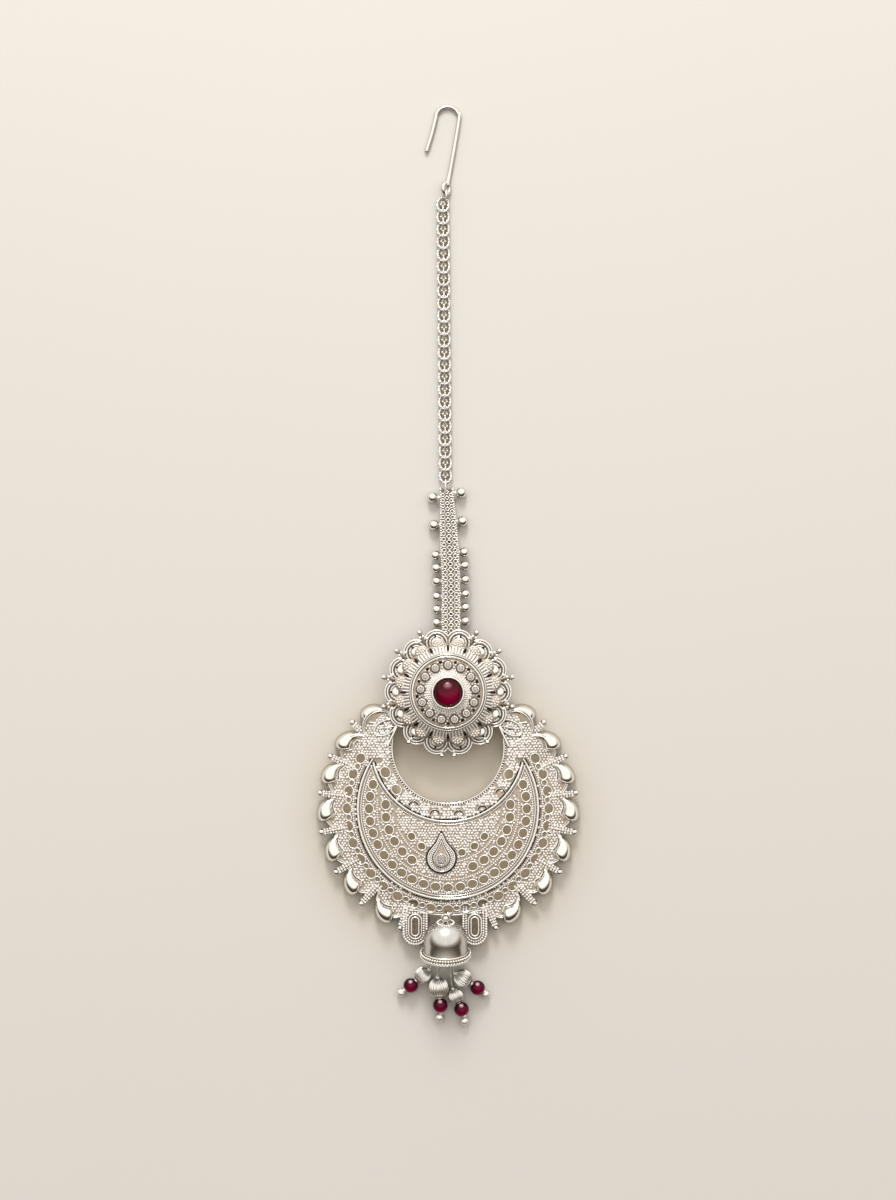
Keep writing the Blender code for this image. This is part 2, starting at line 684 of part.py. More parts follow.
def build_crescent(group):
    plate = flat_shape("plate", crescent_outline(), pierced_rows(), PLATE_THICKNESS, 0.0, group)
    follow(plate, plate_z)
    pieces = [plate]
    centre = (0.0, CRESCENT_Y)
    inner = arc((OPENING_RADIUS + INNER_ARC_REACH), (0.0, INNER_ARC_Y), 193, 347, 18)
    pieces.append(wire("inner_arc", on_plate(inner, 0.0), RELIEF_WIRE, group, resolution=0))
    outer = arc(OUTER_ARC_SHARE * CRESCENT_RADIUS, centre, 146, 394, 30)
    pieces.append(wire("outer_arc", on_plate(outer, 0.0), RELIEF_WIRE, group, resolution=0))
    lip = arc(OPENING_RADIUS + 0.25 * MM, (0.0, OPENING_Y), 196, 344, 18)
    pieces.append(wire("lip", on_plate(lip, -0.1 * MM), EDGE_WIRE, group, resolution=0))
    # Comma shells with flat backs, and a ball on a stalk after each one
    for side in (-1, 1):
        for k, degrees in enumerate(border_angles()):
            pieces.append(shell(f"shell_{side}_{k}", side, degrees, group))
            c = math.radians(degrees + 8.0)
            out = CRESCENT_RADIUS + BORDER_BALL_REACH
            place = (-side * out * math.cos(c), CRESCENT_Y + out * math.sin(c), 1.4 * MM)
            pieces.append(ball(f"border_ball_{side}_{k}", place, BORDER_BALL, group, 6, 4))
            foot_x = place[0] * 0.96 * CRESCENT_RADIUS / out
            foot_y = CRESCENT_Y + (place[1] - CRESCENT_Y) * 0.96 * CRESCENT_RADIUS / out
            foot = (foot_x, foot_y, plate_z(foot_x, foot_y) + 0.3 * PLATE_THICKNESS)
            stalk = wire(f"stalk_{side}_{k}", [place, foot], 0.8 * MM, group, resolution=0, radii=(0.7, 2.0))
            pieces.append(stalk)
    # Two tabs with rounded ends at the bottom of the rim
    tab_y = CRESCENT_Y - CRESCENT_RADIUS - TAB_REACH
    for side in (-1, 1):
        tab_x = TAB_MIDDLE + side * TAB_X
        end = arc(TAB_WIDTH / 2, (tab_x, tab_y), 180, 360, 9)
        foot = [(tab_x + TAB_WIDTH / 2, tab_y + TAB_LENGTH), (tab_x - TAB_WIDTH / 2, tab_y + TAB_LENGTH)]
        pieces.append(flat_shape(f"tab_{side}", end + foot, [], 1.3 * MM, 0.6 * MM, group))
        for rib in (-1, 0, 1):
            x = tab_x + rib * 0.85 * MM
            line = [(x, tab_y - 0.6 * MM, 1.9 * MM)]
            line.append((x, tab_y + 1.0 * MM, 2.05 * MM))
            line.append((x, tab_y + 2.2 * MM, 1.9 * MM))
            pieces.append(wire(f"rib_{side}_{rib}", line, 0.5 * MM, group, resolution=0))
    # Post that holds the bell by its crown ring
    crown = bell_place() @ Vector((0.0, 0.0, CROWN_RING / 2 - 0.05 * MM))
    top = (crown.x, crown.y, crown.z + 0.9 * MM)
    post = [(crown.x, crown.y + 0.6 * MM, PLATE_Z + 0.3 * MM), (crown.x, crown.y + 0.5 * MM, 2.4 * MM)]
    post += [tuple(crown), top]
    pieces.append(wire("post", post, POST_WIRE, group))
    pieces.append(ball("post_ball", top, 2.0 * POST_WIRE, group, 6, 4))
    # Teardrop setting: a raised frame round a dished floor
    seat = teardrop_seat() - TEARDROP_FLOOR
    low = teardrop_seat() - PLATE_THICKNESS
    pieces.append(flat_shape("teardrop_floor", teardrop(1.0), [], PLATE_THICKNESS, low, group))
    hole = circle(TEARDROP_STONE / 2 + STONE_PLAY, 12, (TEARDROP_X, stone_y()))
    inner = flat_shape("teardrop_seat", teardrop(0.60), [hole], 0.85 * MM, seat, group)
    pieces.append(inner)
    return fused("crescent", pieces, group, 0.51)


def stone_y():
    return TEARDROP_Y - 0.17 * TEARDROP_LENGTH


def teardrop_seat():
    """Height of the floor that the teardrop's stone sits on."""
    return plate_z(TEARDROP_X, TEARDROP_Y) + PLATE_THICKNESS + TEARDROP_FLOOR


def teardrop(size):
    """Outline of the teardrop: a round lower end drawn to a point at the top."""
    radius = size * TEARDROP_WIDTH / 2
    low = TEARDROP_Y - TEARDROP_LENGTH / 2 + TEARDROP_WIDTH / 2
    tip = TEARDROP_Y + (0.5 * TEARDROP_LENGTH) * size ** 0.8
    points = [(TEARDROP_X + x, low + y) for x, y in arc(radius, (0.0, 0.0), 150, 390, 15)]
    return points + [(TEARDROP_X + 0.32 * radius, low + 0.62 * (tip - low)), (TEARDROP_X, tip),
                     (TEARDROP_X - 0.32 * radius, low + 0.62 * (tip - low))]


def bell_place():
    """The bell lies with its mouth towards -Y and tipped down until the rim is near the ground."""
    lift = BELL_RIM * math.cos(BELL_TILT) + BELL_DEPTH * math.sin(BELL_TILT) + GROUND_PLAY
    return Matrix.Translation((BELL_X, BELL_Y, lift)) @ Matrix.Rotation(-math.pi / 2 + BELL_TILT, 4, "X")


def build_bell(group):
    inner = BELL_RADIUS - BELL_WALL
    profile = [(0.0, 0.0)]
    for k in range(1, 5):
        a = math.pi / 2 * k / 4
        profile.append((BELL_RADIUS * math.sin(a), -0.52 * BELL_DEPTH * (1 - math.cos(a))))
    profile += [
        (BELL_RADIUS, -0.86 * BELL_DEPTH),
        (BELL_RIM, -0.90 * BELL_DEPTH),
        (BELL_RIM, -BELL_DEPTH),
        (inner, -BELL_DEPTH),
        (inner, -0.52 * BELL_DEPTH),
    ]
    for k in range(3, -1, -1):
        a = math.pi / 2 * k / 4
        drop = (0.52 * BELL_DEPTH - BELL_WALL) * (1 - math.cos(a))
        profile.append((inner * math.sin(a), -BELL_WALL - drop))
    cap = turned("bell_cap", profile, 18, group)
    # Flat ring on the crown, through which the crescent's post passes
    place = Matrix.Translation((0.0, 0.0, CROWN_RING / 2 - 0.05 * MM)) @ Matrix.Rotation(math.pi / 2, 4, "X")
    ring = link("crown_ring", CROWN_RING, CROWN_RING, JOIN_WIRE, place, 5, 10, group)
    # Bar across the mouth, from which the drops hang
    reach = BELL_RADIUS - 0.5 * BELL_WALL
    rail = math.sqrt(reach ** 2 - BAR_DROP ** 2)
    line = [(-rail, BAR_DROP, -BAR_DEPTH * BELL_DEPTH), (rail, BAR_DROP, -BAR_DEPTH * BELL_DEPTH)]
    bar = wire("bar", line, BAR_WIRE, group)
    bell = fused("bell", [cap, ring, bar], group)
    bell.data.transform(bell_place())
    return bell


def drops():
    """The four drops: the middles of the silver bead, the red bead and the ball at the pin's end as
    shares of DROPS_LENGTH from the middle of the bell's mouth, then the width of the silver bead and
    of the ball as shares of the largest ones."""
    return (
        ((-0.317, -0.279), (-0.483, -0.422), (-0.614, -0.527), 0.800, 1.000),
        ((-0.098, -0.448), (-0.073, -0.698), (-0.083, -0.875), 1.000, 1.000),
        ((0.142, -0.567), (0.221, -0.753), (0.263, -0.925), 0.743, 1.000),
        ((0.242, -0.325), (0.444, -0.456), (0.554, -0.550), 0.914, 0.933),
    )


def bead(name, centre, ahead, width, segments, ribs, group):
    """A drilled bead with its hole along the pin, ribbed like a melon when ribs is set."""
    bore = BEAD_BORE / 2
    rings = 5
    low = math.asin(bore / (width / 2))
    profile = []
    for k in range(rings + 1):
        a = low + (math.pi - 2 * low) * k / rings
        profile.append((width / 2 * math.sin(a), width / 2 * math.cos(a)))
    profile.append(profile[0])
    made = turned(name, profile, segments, group)
    if ribs:
        for vertex in made.data.vertices:
            r = math.hypot(vertex.co.x, vertex.co.y)
            if r > bore * 1.1:
                turn = math.atan2(vertex.co.y, vertex.co.x) * segments / 2
                vertex.co.x *= 1.0 - 0.045 * (1 + math.cos(turn))
                vertex.co.y *= 1.0 - 0.045 * (1 + math.cos(turn))
    spin = ahead.to_track_quat("Z", "Y").to_matrix().to_4x4()
    made.data.transform(Matrix.Translation(centre) @ spin)
    return made


def beside(mouth, shares, width):
    """Middle of a bead that lies on the ground, at these shares of the drops' length from the mouth."""
    x = mouth.x + shares[0] * DROPS_LENGTH
    y = mouth.y + shares[1] * DROPS_LENGTH
    return Vector((x, y, width / 2 + GROUND_PLAY))


def build_drops(group):
    made = []
    bar = bell_place() @ Vector((0.0, BAR_DROP, -BAR_DEPTH * BELL_DEPTH))
    mouth = bell_place() @ Vector((0.0, 0.0, -BELL_DEPTH))
    for k, (silver, red, end, silver_share, end_share) in enumerate(drops(), 1):
        width = silver_share * SILVER_BEAD
        end_width = end_share * END_BALL
        silver_at = beside(mouth, silver, width)
        red_at = beside(mouth, red, RUBY_BEAD)
        end_at = beside(mouth, end, end_width)
        line = (red_at - silver_at).normalized()
        made.append(bead(f"drop_silver_{k}", silver_at, line, width, 12, True, group))
        made.append(bead(f"drop_ruby_{k}", red_at, line, RUBY_BEAD, 12, False, group))
        spread = (k - 2.5) * 0.9 * MM
        start = Vector((bar.x + spread, bar.y - BAR_WIRE / 2 - 0.20 * MM, bar.z))
        near = silver_at - line * (width / 2 + 0.25 * MM)
        pin = wire(f"pin_{k}", [start, near, silver_at, red_at, end_at], PIN_WIRE, group)
        knob = ball(f"knob_{k}", end_at, end_width, group, 10, 6)
        made.append(fused(f"drop_pin_{k}", [pin, knob], group))
    return made


def main():
    clear_scene()
    group = new_collection("maang_tikka")
    cutters = new_collection("cutters")
    cutters.hide_render = True
    silver_nodes = [
        build_hook(group),
        build_chain(group),
        build_strap(group),
        build_rosette(group),
        build_crescent(group),
        build_bell(group),
    ]
    ruby = build_ruby(group)
    stones = []
    for k in range(SETTING_COUNT):
        x, y = setting_place(k)
        place = (x, y, setting_top() + 0.08 * MM)
        stones.append(cut_stone(f"side_stone_{k + 1:02d}", place, SIDE_STONE - 0.16 * MM, 0.6 * MM, group))
    place = (TEARDROP_X, stone_y(), teardrop_seat() + STONE_PLAY + TEARDROP_STONE_DEPTH / 2)
    stones.append(cut_stone("teardrop_stone", place, TEARDROP_STONE, TEARDROP_STONE_DEPTH, group))
    drop_nodes = build_drops(group)
    stand = bpy.data.objects.new("stand", None)
    group.objects.link(stand)
    nodes = [obj for obj in group.objects if obj.type == "MESH"]
    corners = [vertex.co for obj in nodes for vertex in obj.data.vertices]
    middle = [(min(c[i] for c in corners) + max(c[i] for c in corners)) / 2 for i in range(2)]
    stand.location = (-middle[0], -middle[1], -min(c.z for c in corners))
    for obj in nodes:
        obj.parent = stand
    for obj in silver_nodes:
        obj.data.materials.clear()
        obj.data.materials.append(material(f"{obj.name}_silver", SILVER, 0.24, 1.0))
    ruby.data.materials.append(material("ruby_stone", RUBY_RED, 0.08, 0.0))
    for obj in stones:
        obj.data.materials.append(material(f"{obj.name}_clear", CLEAR, 0.05, 0.0))
    for obj in drop_nodes:
        obj.data.materials.clear()
        if "ruby" in obj.name:
            obj.data.materials.append(material(f"{obj.name}_red", RUBY_RED, 0.10, 0.0))
        else:
            obj.data.materials.append(material(f"{obj.name}_silver", SILVER, 0.24, 1.0))


main()
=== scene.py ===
import json
import math

import bmesh
import bpy
import numpy as np
from mathutils import Matrix, Vector

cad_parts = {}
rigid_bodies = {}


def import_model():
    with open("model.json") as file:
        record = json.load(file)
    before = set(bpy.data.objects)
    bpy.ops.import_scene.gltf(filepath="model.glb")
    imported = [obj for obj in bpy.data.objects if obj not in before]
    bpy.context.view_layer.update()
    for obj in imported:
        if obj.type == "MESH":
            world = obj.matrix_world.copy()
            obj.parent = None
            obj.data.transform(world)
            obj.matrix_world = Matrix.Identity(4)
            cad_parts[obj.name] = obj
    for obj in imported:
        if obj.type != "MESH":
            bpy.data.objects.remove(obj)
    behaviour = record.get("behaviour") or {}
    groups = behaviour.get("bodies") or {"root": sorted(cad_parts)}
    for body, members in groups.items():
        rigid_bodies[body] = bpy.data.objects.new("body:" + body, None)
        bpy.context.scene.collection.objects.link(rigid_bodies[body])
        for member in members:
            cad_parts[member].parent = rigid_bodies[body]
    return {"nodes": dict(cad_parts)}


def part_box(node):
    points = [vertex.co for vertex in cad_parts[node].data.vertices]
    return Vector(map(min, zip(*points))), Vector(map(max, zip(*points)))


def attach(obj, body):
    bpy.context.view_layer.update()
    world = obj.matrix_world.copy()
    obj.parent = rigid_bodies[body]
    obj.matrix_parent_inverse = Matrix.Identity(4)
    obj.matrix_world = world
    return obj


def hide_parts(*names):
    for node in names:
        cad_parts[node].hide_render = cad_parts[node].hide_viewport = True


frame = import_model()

for unused in [obj for obj in bpy.data.objects if obj.name in ("Cube", "Light", "Camera")]:
    bpy.data.objects.remove(unused)
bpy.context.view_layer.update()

# Sizes in millimetres, in the part's own plan, where y = 0 lies a little below the strap's middle
HOOK_WIRE = 0.70
HOOK_TOP_Y = 76.5
HOOK_WIDTH = 4.6
HOOK_LENGTH = 15.3
EYE_WIDTH = 2.3
EYE_LENGTH = 2.5
EYE_X = -0.3
EYE_Y = HOOK_TOP_Y - HOOK_LENGTH + EYE_LENGTH / 2
EYE_Z = 0.98
CHAIN_TOP_Y = 59.8
CHAIN_Z = 0.72
LINK_COUNT = 23
LINK_PITCH = 2.05
LINK_WIDTH = 1.86
LINK_LENGTH = 2.50
LINK_TILT = math.radians(16)
STRAP_TOP_Y = 12.4
STRAP_END_Y = -12.2
STRAP_WIDTH = 2.8
STRAP_THICKNESS = 0.9
STRAP_BALL_X = 2.40
PIT_PITCH = 1.2
CELL_PITCH = 0.92
ROSETTE_Y = -21.25
ROSETTE_Z = 3.30
LACE_RADIUS = 10.6
LACE_THICKNESS = 0.6
LACE_LOBES = 14
PETALS = 16
RIB_COUNT = 84
SETTING_COUNT = 13
SETTING_RADIUS = 4.55
BEZEL_RADIUS = 2.75
RUBY_FLOOR = -0.81
CRESCENT_Y = -40.67
CRESCENT_RADIUS = 17.8
OPENING_Y = -30.5
OPENING_RADIUS = 9.15
HORN_TOP_Y = -24.9
HORN_CLIMB = 8.5
PLATE_THICKNESS = 0.7
PLATE_Z = 0.9
PLATE_DOME = 1.3
INNER_ARC_Y = -30.0
INNER_ARC_RADIUS = 12.75
OUTER_ARC_RADIUS = 14.95
ARC_TOP_Y = -32.3
HOLE_WIDTH = 1.40
PAD_RING = 17.75
PAD_RADIUS = 2.9
PAD_ANGLES = (129.5, 147.5, 164.5, 182.0, 201.0, 219.0, 239.5)
SHELL_PATH = 2.55
SHELL_WIDTH = 3.4
SHELL_HEIGHT = 2.9
BORDER_BALL_RADIUS = 21.4
TAB_Y = -61.3
TAB_X = 4.95
TAB_MIDDLE = -0.5
TAB_WIDTH = 4.2
TEARDROP_X = -1.1
TEARDROP_Y = -47.8
TEARDROP_WIDTH = 4.9
TEARDROP_LENGTH = 6.9
BELL_X = -0.4
BELL_Y = -59.0
BELL_DEPTH = 6.3
BELL_RADIUS = 3.6
BELL_RIM = 4.3
BELL_WALL = 0.45
BELL_TILT = math.radians(17)
DOME_SHARE = 0.52
BAR_DROP = 1.2
RUBY_BEAD = 2.45

low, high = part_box("ruby")
SHIFT_Y = (low.y + high.y) / 2 * 1000 - ROSETTE_Y


class Batch:
    """Collects the shapes of one piece in millimetres and makes one mesh of them."""

    def __init__(self):
        self.points = []
        self.faces = []
        self.count = 0

    def add(self, points, faces):
        self.points.append(np.asarray(points, float))
        self.faces.append(np.asarray(faces, int) + self.count)
        self.count += len(points)

    def make(self, name, material, replaced="", smooth=True, slot="crescent"):
        points = np.concatenate(self.points) * 0.001
        points[:, 1] += SHIFT_Y * 0.001
        faces = [tuple(face) for block in self.faces for face in block.tolist()]
        mesh = bpy.data.meshes.new(name)
        mesh.from_pydata(points.tolist(), [], faces)
        mesh.materials.append(material)
        if smooth:
            mesh.shade_smooth()
        obj = bpy.data.objects.new(name, mesh)
        bpy.context.scene.collection.objects.link(obj)
        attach(obj, "root")
        if replaced:
            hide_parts(replaced)


def grid_faces(rows, columns, wrap_rows, wrap_columns):
    """Quads between the rows and columns of a grid of points."""
    i = np.arange(rows if wrap_rows else rows - 1)
    j = np.arange(columns if wrap_columns else columns - 1)
    i, j = np.meshgrid(i, j, indexing="ij")
    i, j = i.ravel(), j.ravel()
    below = (i + 1) % rows * columns
    across = (j + 1) % columns
    return np.stack([i * columns + j, below + j, below + across, i * columns + across], 1)


def round_template(segments, rings, lowest):
    """Unit sphere from its top pole down to the angle lowest, as triangles."""
    polar = np.linspace(0, lowest, rings + 1)[1:]
    turn = np.linspace(0, 2 * math.pi, segments, endpoint=False)
    p, t = np.meshgrid(polar, turn, indexing="ij")
    ring = np.stack([np.sin(p) * np.cos(t), np.sin(p) * np.sin(t), np.cos(p)], -1).reshape(-1, 3)
    points = np.concatenate([[[0, 0, 1]], ring])
    k = np.arange(segments)
    cap = np.stack([np.zeros(segments, int), k + 1, (k + 1) % segments + 1], 1)
    quads = grid_faces(rings, segments, False, True) + 1
    return points, np.concatenate([cap, quads[:, [0, 1, 2]], quads[:, [0, 2, 3]]])


GRAIN = round_template(10, 5, 2.2)
BALL = round_template(32, 20, math.pi - 0.01)


def spheres(batch, centres, radii, template=GRAIN, squash=1.0):
    centres = np.asarray(centres, float).reshape(-1, 3)
    radii = np.broadcast_to(np.asarray(radii, float), (len(centres),))
    points, faces = template
    shape = points * np.array([1, 1, squash])
    every = centres[:, None, :] + shape[None] * radii[:, None, None]
    offsets = np.arange(len(centres))[:, None, None] * len(points)
    batch.add(every.reshape(-1, 3), (faces[None] + offsets).reshape(-1, 3))


def tube(batch, path, radius, sides=8, closed=False, up=(0, 0, 1)):
    """A round wire along the path; radius is one number, or one for each point."""
    path = np.asarray(path, float)
    tangent = np.roll(path, -1, 0) - np.roll(path, 1, 0) if closed else np.gradient(path, axis=0)
    tangent = tangent / np.linalg.norm(tangent, axis=1)[:, None]
    side = np.cross(tangent, np.asarray(up, float))
    side = side / np.maximum(np.linalg.norm(side, axis=1)[:, None], 1e-9)
    over = np.cross(side, tangent)
    radius = np.broadcast_to(np.asarray(radius, float), (len(path),))
    turn = np.linspace(0, 2 * math.pi, sides, endpoint=False)
    ring = side[:, None] * np.cos(turn)[None, :, None] + over[:, None] * np.sin(turn)[None, :, None]
    points = path[:, None] + ring * radius[:, None, None]
    batch.add(points.reshape(-1, 3), grid_faces(len(path), sides, closed, True)[:, ::-1])


def turned(batch, profile, segments, centre=(0, 0, 0), matrix=None, flutes=0, depth=0.0):
    """A turned shape about Z, its profile running down the outer side; flutes ripple its radius."""
    profile = np.asarray(profile, float)
    turn = np.linspace(0, 2 * math.pi, segments, endpoint=False)
    r = np.maximum(profile[:, 0], 1e-4)[:, None] * (1 - depth * (1 - np.abs(np.cos(turn * flutes / 2)))[None])
    z = profile[:, 1][:, None] * np.ones(segments)
    points = np.stack([r * np.cos(turn), r * np.sin(turn), z], -1).reshape(-1, 3)
    if matrix is not None:
        points = points @ np.asarray(matrix)[:3, :3].T
    batch.add(points + np.asarray(centre, float), grid_faces(len(profile), segments, False, True))


def arc(radius, centre, first, last, count):
    turn = np.radians(np.linspace(first, last, count))
    return np.stack([centre[0] + radius * np.cos(turn), centre[1] + radius * np.sin(turn)], 1)


def spaced(path, step):
    """Points at even steps along an open path."""
    path = np.asarray(path, float)
    run = np.concatenate([[0], np.cumsum(np.linalg.norm(np.diff(path, axis=0), axis=1))])
    at = np.linspace(0, run[-1], max(2, int(round(run[-1] / step)) + 1))
    return np.stack([np.interp(at, run, path[:, k]) for k in range(path.shape[1])], 1)


def rounded(points, steps=8):
    """A smooth curve through the points."""
    p = np.asarray(points, float)
    p = np.concatenate([[2 * p[0] - p[1]], p, [2 * p[-1] - p[-2]]])
    made = []
    for k in range(1, len(p) - 2):
        a, b, c, d = p[k - 1], p[k], p[k + 1], p[k + 2]
        for t in np.arange(steps) / steps:
            made.append(0.5 * (2 * b + (c - a) * t + (2 * a - 5 * b + 4 * c - d) * t ** 2
                               + (3 * b - a - 3 * c + d) * t ** 3))
    made.append(p[-2])
    return np.array(made)


def on_edge(x, y, z):
    """The place of a ring that stands on its edge, along Y."""
    return Matrix.Translation((x, y, z)) @ Matrix.Rotation(math.pi / 2, 4, "Y")


def moved(points, place):
    matrix = np.array(place)
    return points @ matrix[:3, :3].T + matrix[:3, 3]


def upward(place):
    return np.array(place)[:3, :3] @ np.array([0, 0, 1.0])


def hoop(radius, z, count, place):
    """Points of a circle round the axis of the place."""
    t = np.linspace(0, 2 * math.pi, count, endpoint=False)
    return moved(np.stack([radius * np.cos(t), radius * np.sin(t), np.full(count, z)], 1), place)


def at_height(points, z):
    points = np.asarray(points, float)
    return np.column_stack([points, np.broadcast_to(z, (len(points),))])


# Tint and facing for the painted shade that darkens silver where it doesn't face up
SIDE_SHADE_TINT = (0.30, 0.25, 0.19)
FULLY_SHADED_FACING = 0.1
PAINTED_GLOW_CENTRE = (0.56, 0.28, 0.7)
PAINTED_HIGHLIGHT_CENTRE = (0.49, 0.76, 0.84)
PAINTED_HIGHLIGHT_COLOUR = (1.0, 0.56, 0.62, 1.0)


def shading(tree, kind, values=(), sockets=(), **settings):
    """A new shader node: its settings, the values of its inputs and the sockets linked to them."""
    made = tree.nodes.new("ShaderNode" + kind)
    for name, value in settings.items():
        setattr(made, name, value)
    for name, value in dict(values).items():
        made.inputs[name].default_value = value
    for name, socket in dict(sockets).items():
        tree.links.new(socket, made.inputs[name])
    return made


def mapped(tree, value, low, high, to_low=0.0, to_high=1.0, way="LINEAR"):
    ends = {"From Min": low, "From Max": high, "To Min": to_low, "To Max": to_high}
    return shading(tree, "MapRange", ends, {"Value": value}, interpolation_type=way).outputs["Result"]


def mixed(tree, share, first, second):
    """One colour to another by the share; each is a colour or a socket."""
    made = shading(tree, "Mix", (), {0: share}, data_type="RGBA")
    for index, colour in ((6, first), (7, second)):
        if isinstance(colour, tuple):
            made.inputs[index].default_value = (*colour, 1.0)
        else:
            tree.links.new(colour, made.inputs[index])
    return made.outputs[2]


def noise(tree, socket, scale, **detail):
    made = shading(tree, "TexNoise", {"Scale": scale, **detail}, {"Vector": socket})
    return made.outputs["Fac"]


def distance(tree, socket, point):
    return shading(tree, "VectorMath", {1: point}, {0: socket}, operation="DISTANCE").outputs["Value"]


def new_material(name):
    """The material, its node tree, its shader and its texture coordinates."""
    made = bpy.data.materials.new(name)
    made.use_nodes = True
    tree = made.node_tree
    return made, tree, tree.nodes["Principled BSDF"], shading(tree, "TexCoord").outputs


def silver(name, colour, roughness, grime, bump=0.0, grain=900.0, metal=1.0, level=0.6):
    """Worn silver: colour, roughness and height vary with noise, and what doesn't face up is darkened with
    painted shade.
    """
    made, tree, shader, place = new_material(name)
    shader.inputs["Metallic"].default_value = metal
    coarse = noise(tree, place["Object"], grain, Detail=4.0)
    worn = mixed(tree, mapped(tree, coarse, 0.42, 0.75), colour, tuple(c * grime for c in colour))
    normal = shading(tree, "NewGeometry").outputs["Normal"]
    up = shading(tree, "SeparateXYZ", (), {"Vector": normal}).outputs["Z"]
    side_shaded = tuple(c * t for c, t in zip(colour, SIDE_SHADE_TINT))
    # Painted shade: sides and undersides darker than tops
    face = mixed(tree, mapped(tree, up, FULLY_SHADED_FACING, level), side_shaded, worn)
    tree.links.new(face, shader.inputs["Base Color"])
    rough = mapped(tree, coarse, 0.0, 1.0, roughness * 0.8, roughness * 1.4)
    tree.links.new(rough, shader.inputs["Roughness"])
    if bump:
        fine = noise(tree, place["Object"], grain * 3)
        raised = shading(tree, "Bump", {"Strength": bump, "Distance": 0.0001}, {"Height": fine})
        tree.links.new(raised.outputs["Normal"], shader.inputs["Normal"])
    return made


def stone(name, colour, edge, roughness, clear, painted_glow=0.0):
    """A gem or glass bead, painted brighter below its middle and darker towards its edge as painted glow and
    shade, with a painted highlight above.
    """
    made, tree, shader, place = new_material(name)
    shader.inputs["Roughness"].default_value = roughness
    shader.inputs["IOR"].default_value = 1.5 if clear else 1.27
    shader.inputs["Transmission Weight"].default_value = clear
    # Painted glow and shade: the colour brightens towards a spot below the middle and darkens to the edge
    # colour
    share = mapped(tree, distance(tree, place["Generated"], PAINTED_GLOW_CENTRE), 0.05, 0.55)
    tree.links.new(mixed(tree, share, colour, edge), shader.inputs["Base Color"])
    # Painted highlight: a soft emissive spot above the middle
    if painted_glow:
        shine = distance(tree, place["Generated"], PAINTED_HIGHLIGHT_CENTRE)
        fade = mapped(tree, shine, 0.03, 0.20, painted_glow, 0.0, "SMOOTHSTEP")
        shader.inputs["Emission Color"].default_value = PAINTED_HIGHLIGHT_COLOUR
        tree.links.new(fade, shader.inputs["Emission Strength"])
    return made


POLISHED = silver("polished_silver", (0.96, 0.94, 0.90), 0.10, 0.92, 0.04, level=0.55)
WIRE = silver("wire_silver", (0.98, 0.96, 0.92), 0.13, 0.95, 0.04, level=0.9)
BRUSHED = silver("brushed_silver", (0.68, 0.66, 0.625), 0.22, 0.9, 0.06, level=0.5)
SATIN = silver("satin_silver", (1.0, 0.97, 0.93), 0.24, 0.94, 0.12, metal=0.68, level=0.62)
GRAINED = silver("grained_silver", (1.0, 0.96, 0.92), 0.34, 0.95, metal=0.22, level=0.42)
BEADED = silver("bead_silver", (1.0, 0.975, 0.94), 0.18, 0.95, metal=0.85, level=0.58)
# Dark brown silver for plates, hollows and lines under the raised work: painted shade
DARK_SHADE = silver("dark_shade_silver", (0.25, 0.20, 0.15), 0.45, 0.6, 0.3, 2500.0)
# Brown silver for plates, domes and stalks under the grains, darker than the silver on top: painted shade
# between the grains
RECESS_SHADE = silver("recess_shade_silver", (0.60, 0.50, 0.40), 0.5, 0.7, 0.3, 2500.0, metal=0.6)
OPEN = silver("openwork_shade", (0.34, 0.28, 0.18), 0.6, 0.8, metal=0.0)
# Near-black pieces laid along slits and gaps: painted shade
PIT = silver("pit_shade_silver", (0.06, 0.045, 0.035), 0.7, 0.6)
RUBY = stone("ruby_red", (0.32, 0.0, 0.040), (0.045, 0.0, 0.005), 0.08, 0.0, 0.36)
BEAD_RED = stone("bead_red", (0.37, 0.0, 0.065), (0.030, 0.0, 0.004), 0.09, 0.0, 1.0)
CLEAR = stone("clear_stone", (1.0, 0.985, 0.96), (0.80, 0.77, 0.73), 0.03, 0.6)


def plate_z(x, y):
    """Underside of the crescent plate: domed across its band, its horns rising under the rosette."""
    out = np.hypot(x, y - CRESCENT_Y)
    share = np.clip((CRESCENT_RADIUS + 0.8 - out) / (0.45 * CRESCENT_RADIUS), 0, 1)
    climb = np.clip((y - HORN_TOP_Y) / HORN_CLIMB + 1.0, 0, 1)
    seat = ROSETTE_Z - 0.3 - PLATE_THICKNESS
    return np.minimum(seat, PLATE_Z + PLATE_DOME * np.sin(share * math.pi / 2) + (seat - PLATE_Z) * climb)


def on_plate(points, lift=0.0):
    points = np.asarray(points, float)
    return at_height(points, plate_z(points[:, 0], points[:, 1]) + PLATE_THICKNESS + lift)


def strap_share(y):
    return np.clip((STRAP_TOP_Y - y) / (STRAP_TOP_Y - STRAP_END_Y), 0, 1)


def strap_z(y):
    return 0.25 + (ROSETTE_Z - STRAP_THICKNESS - 0.3 - 0.25) * strap_share(y) ** 1.6


def strap_x(y):
    return -0.25 + 0.75 * np.minimum(1.0, strap_share(y) / 0.6)


def strap_half(y):
    return STRAP_WIDTH / 2 * (0.72 + 0.28 * np.minimum(1.0, strap_share(y) / 0.35))


def chain_x(y):
    return -0.85 + 0.45 * (CHAIN_TOP_Y - y) / (LINK_COUNT * LINK_PITCH)


def flat_edges(bm):
    return [edge for edge in bm.edges if all(abs(face.normal.z) > 0.9 for face in edge.link_faces)]


def relax(bm):
    """Evens out the triangles of a plate's top and bottom."""
    faces = [face for face in bm.faces if abs(face.normal.z) > 0.9]
    bmesh.ops.beautify_fill(bm, faces=faces, edges=flat_edges(bm))


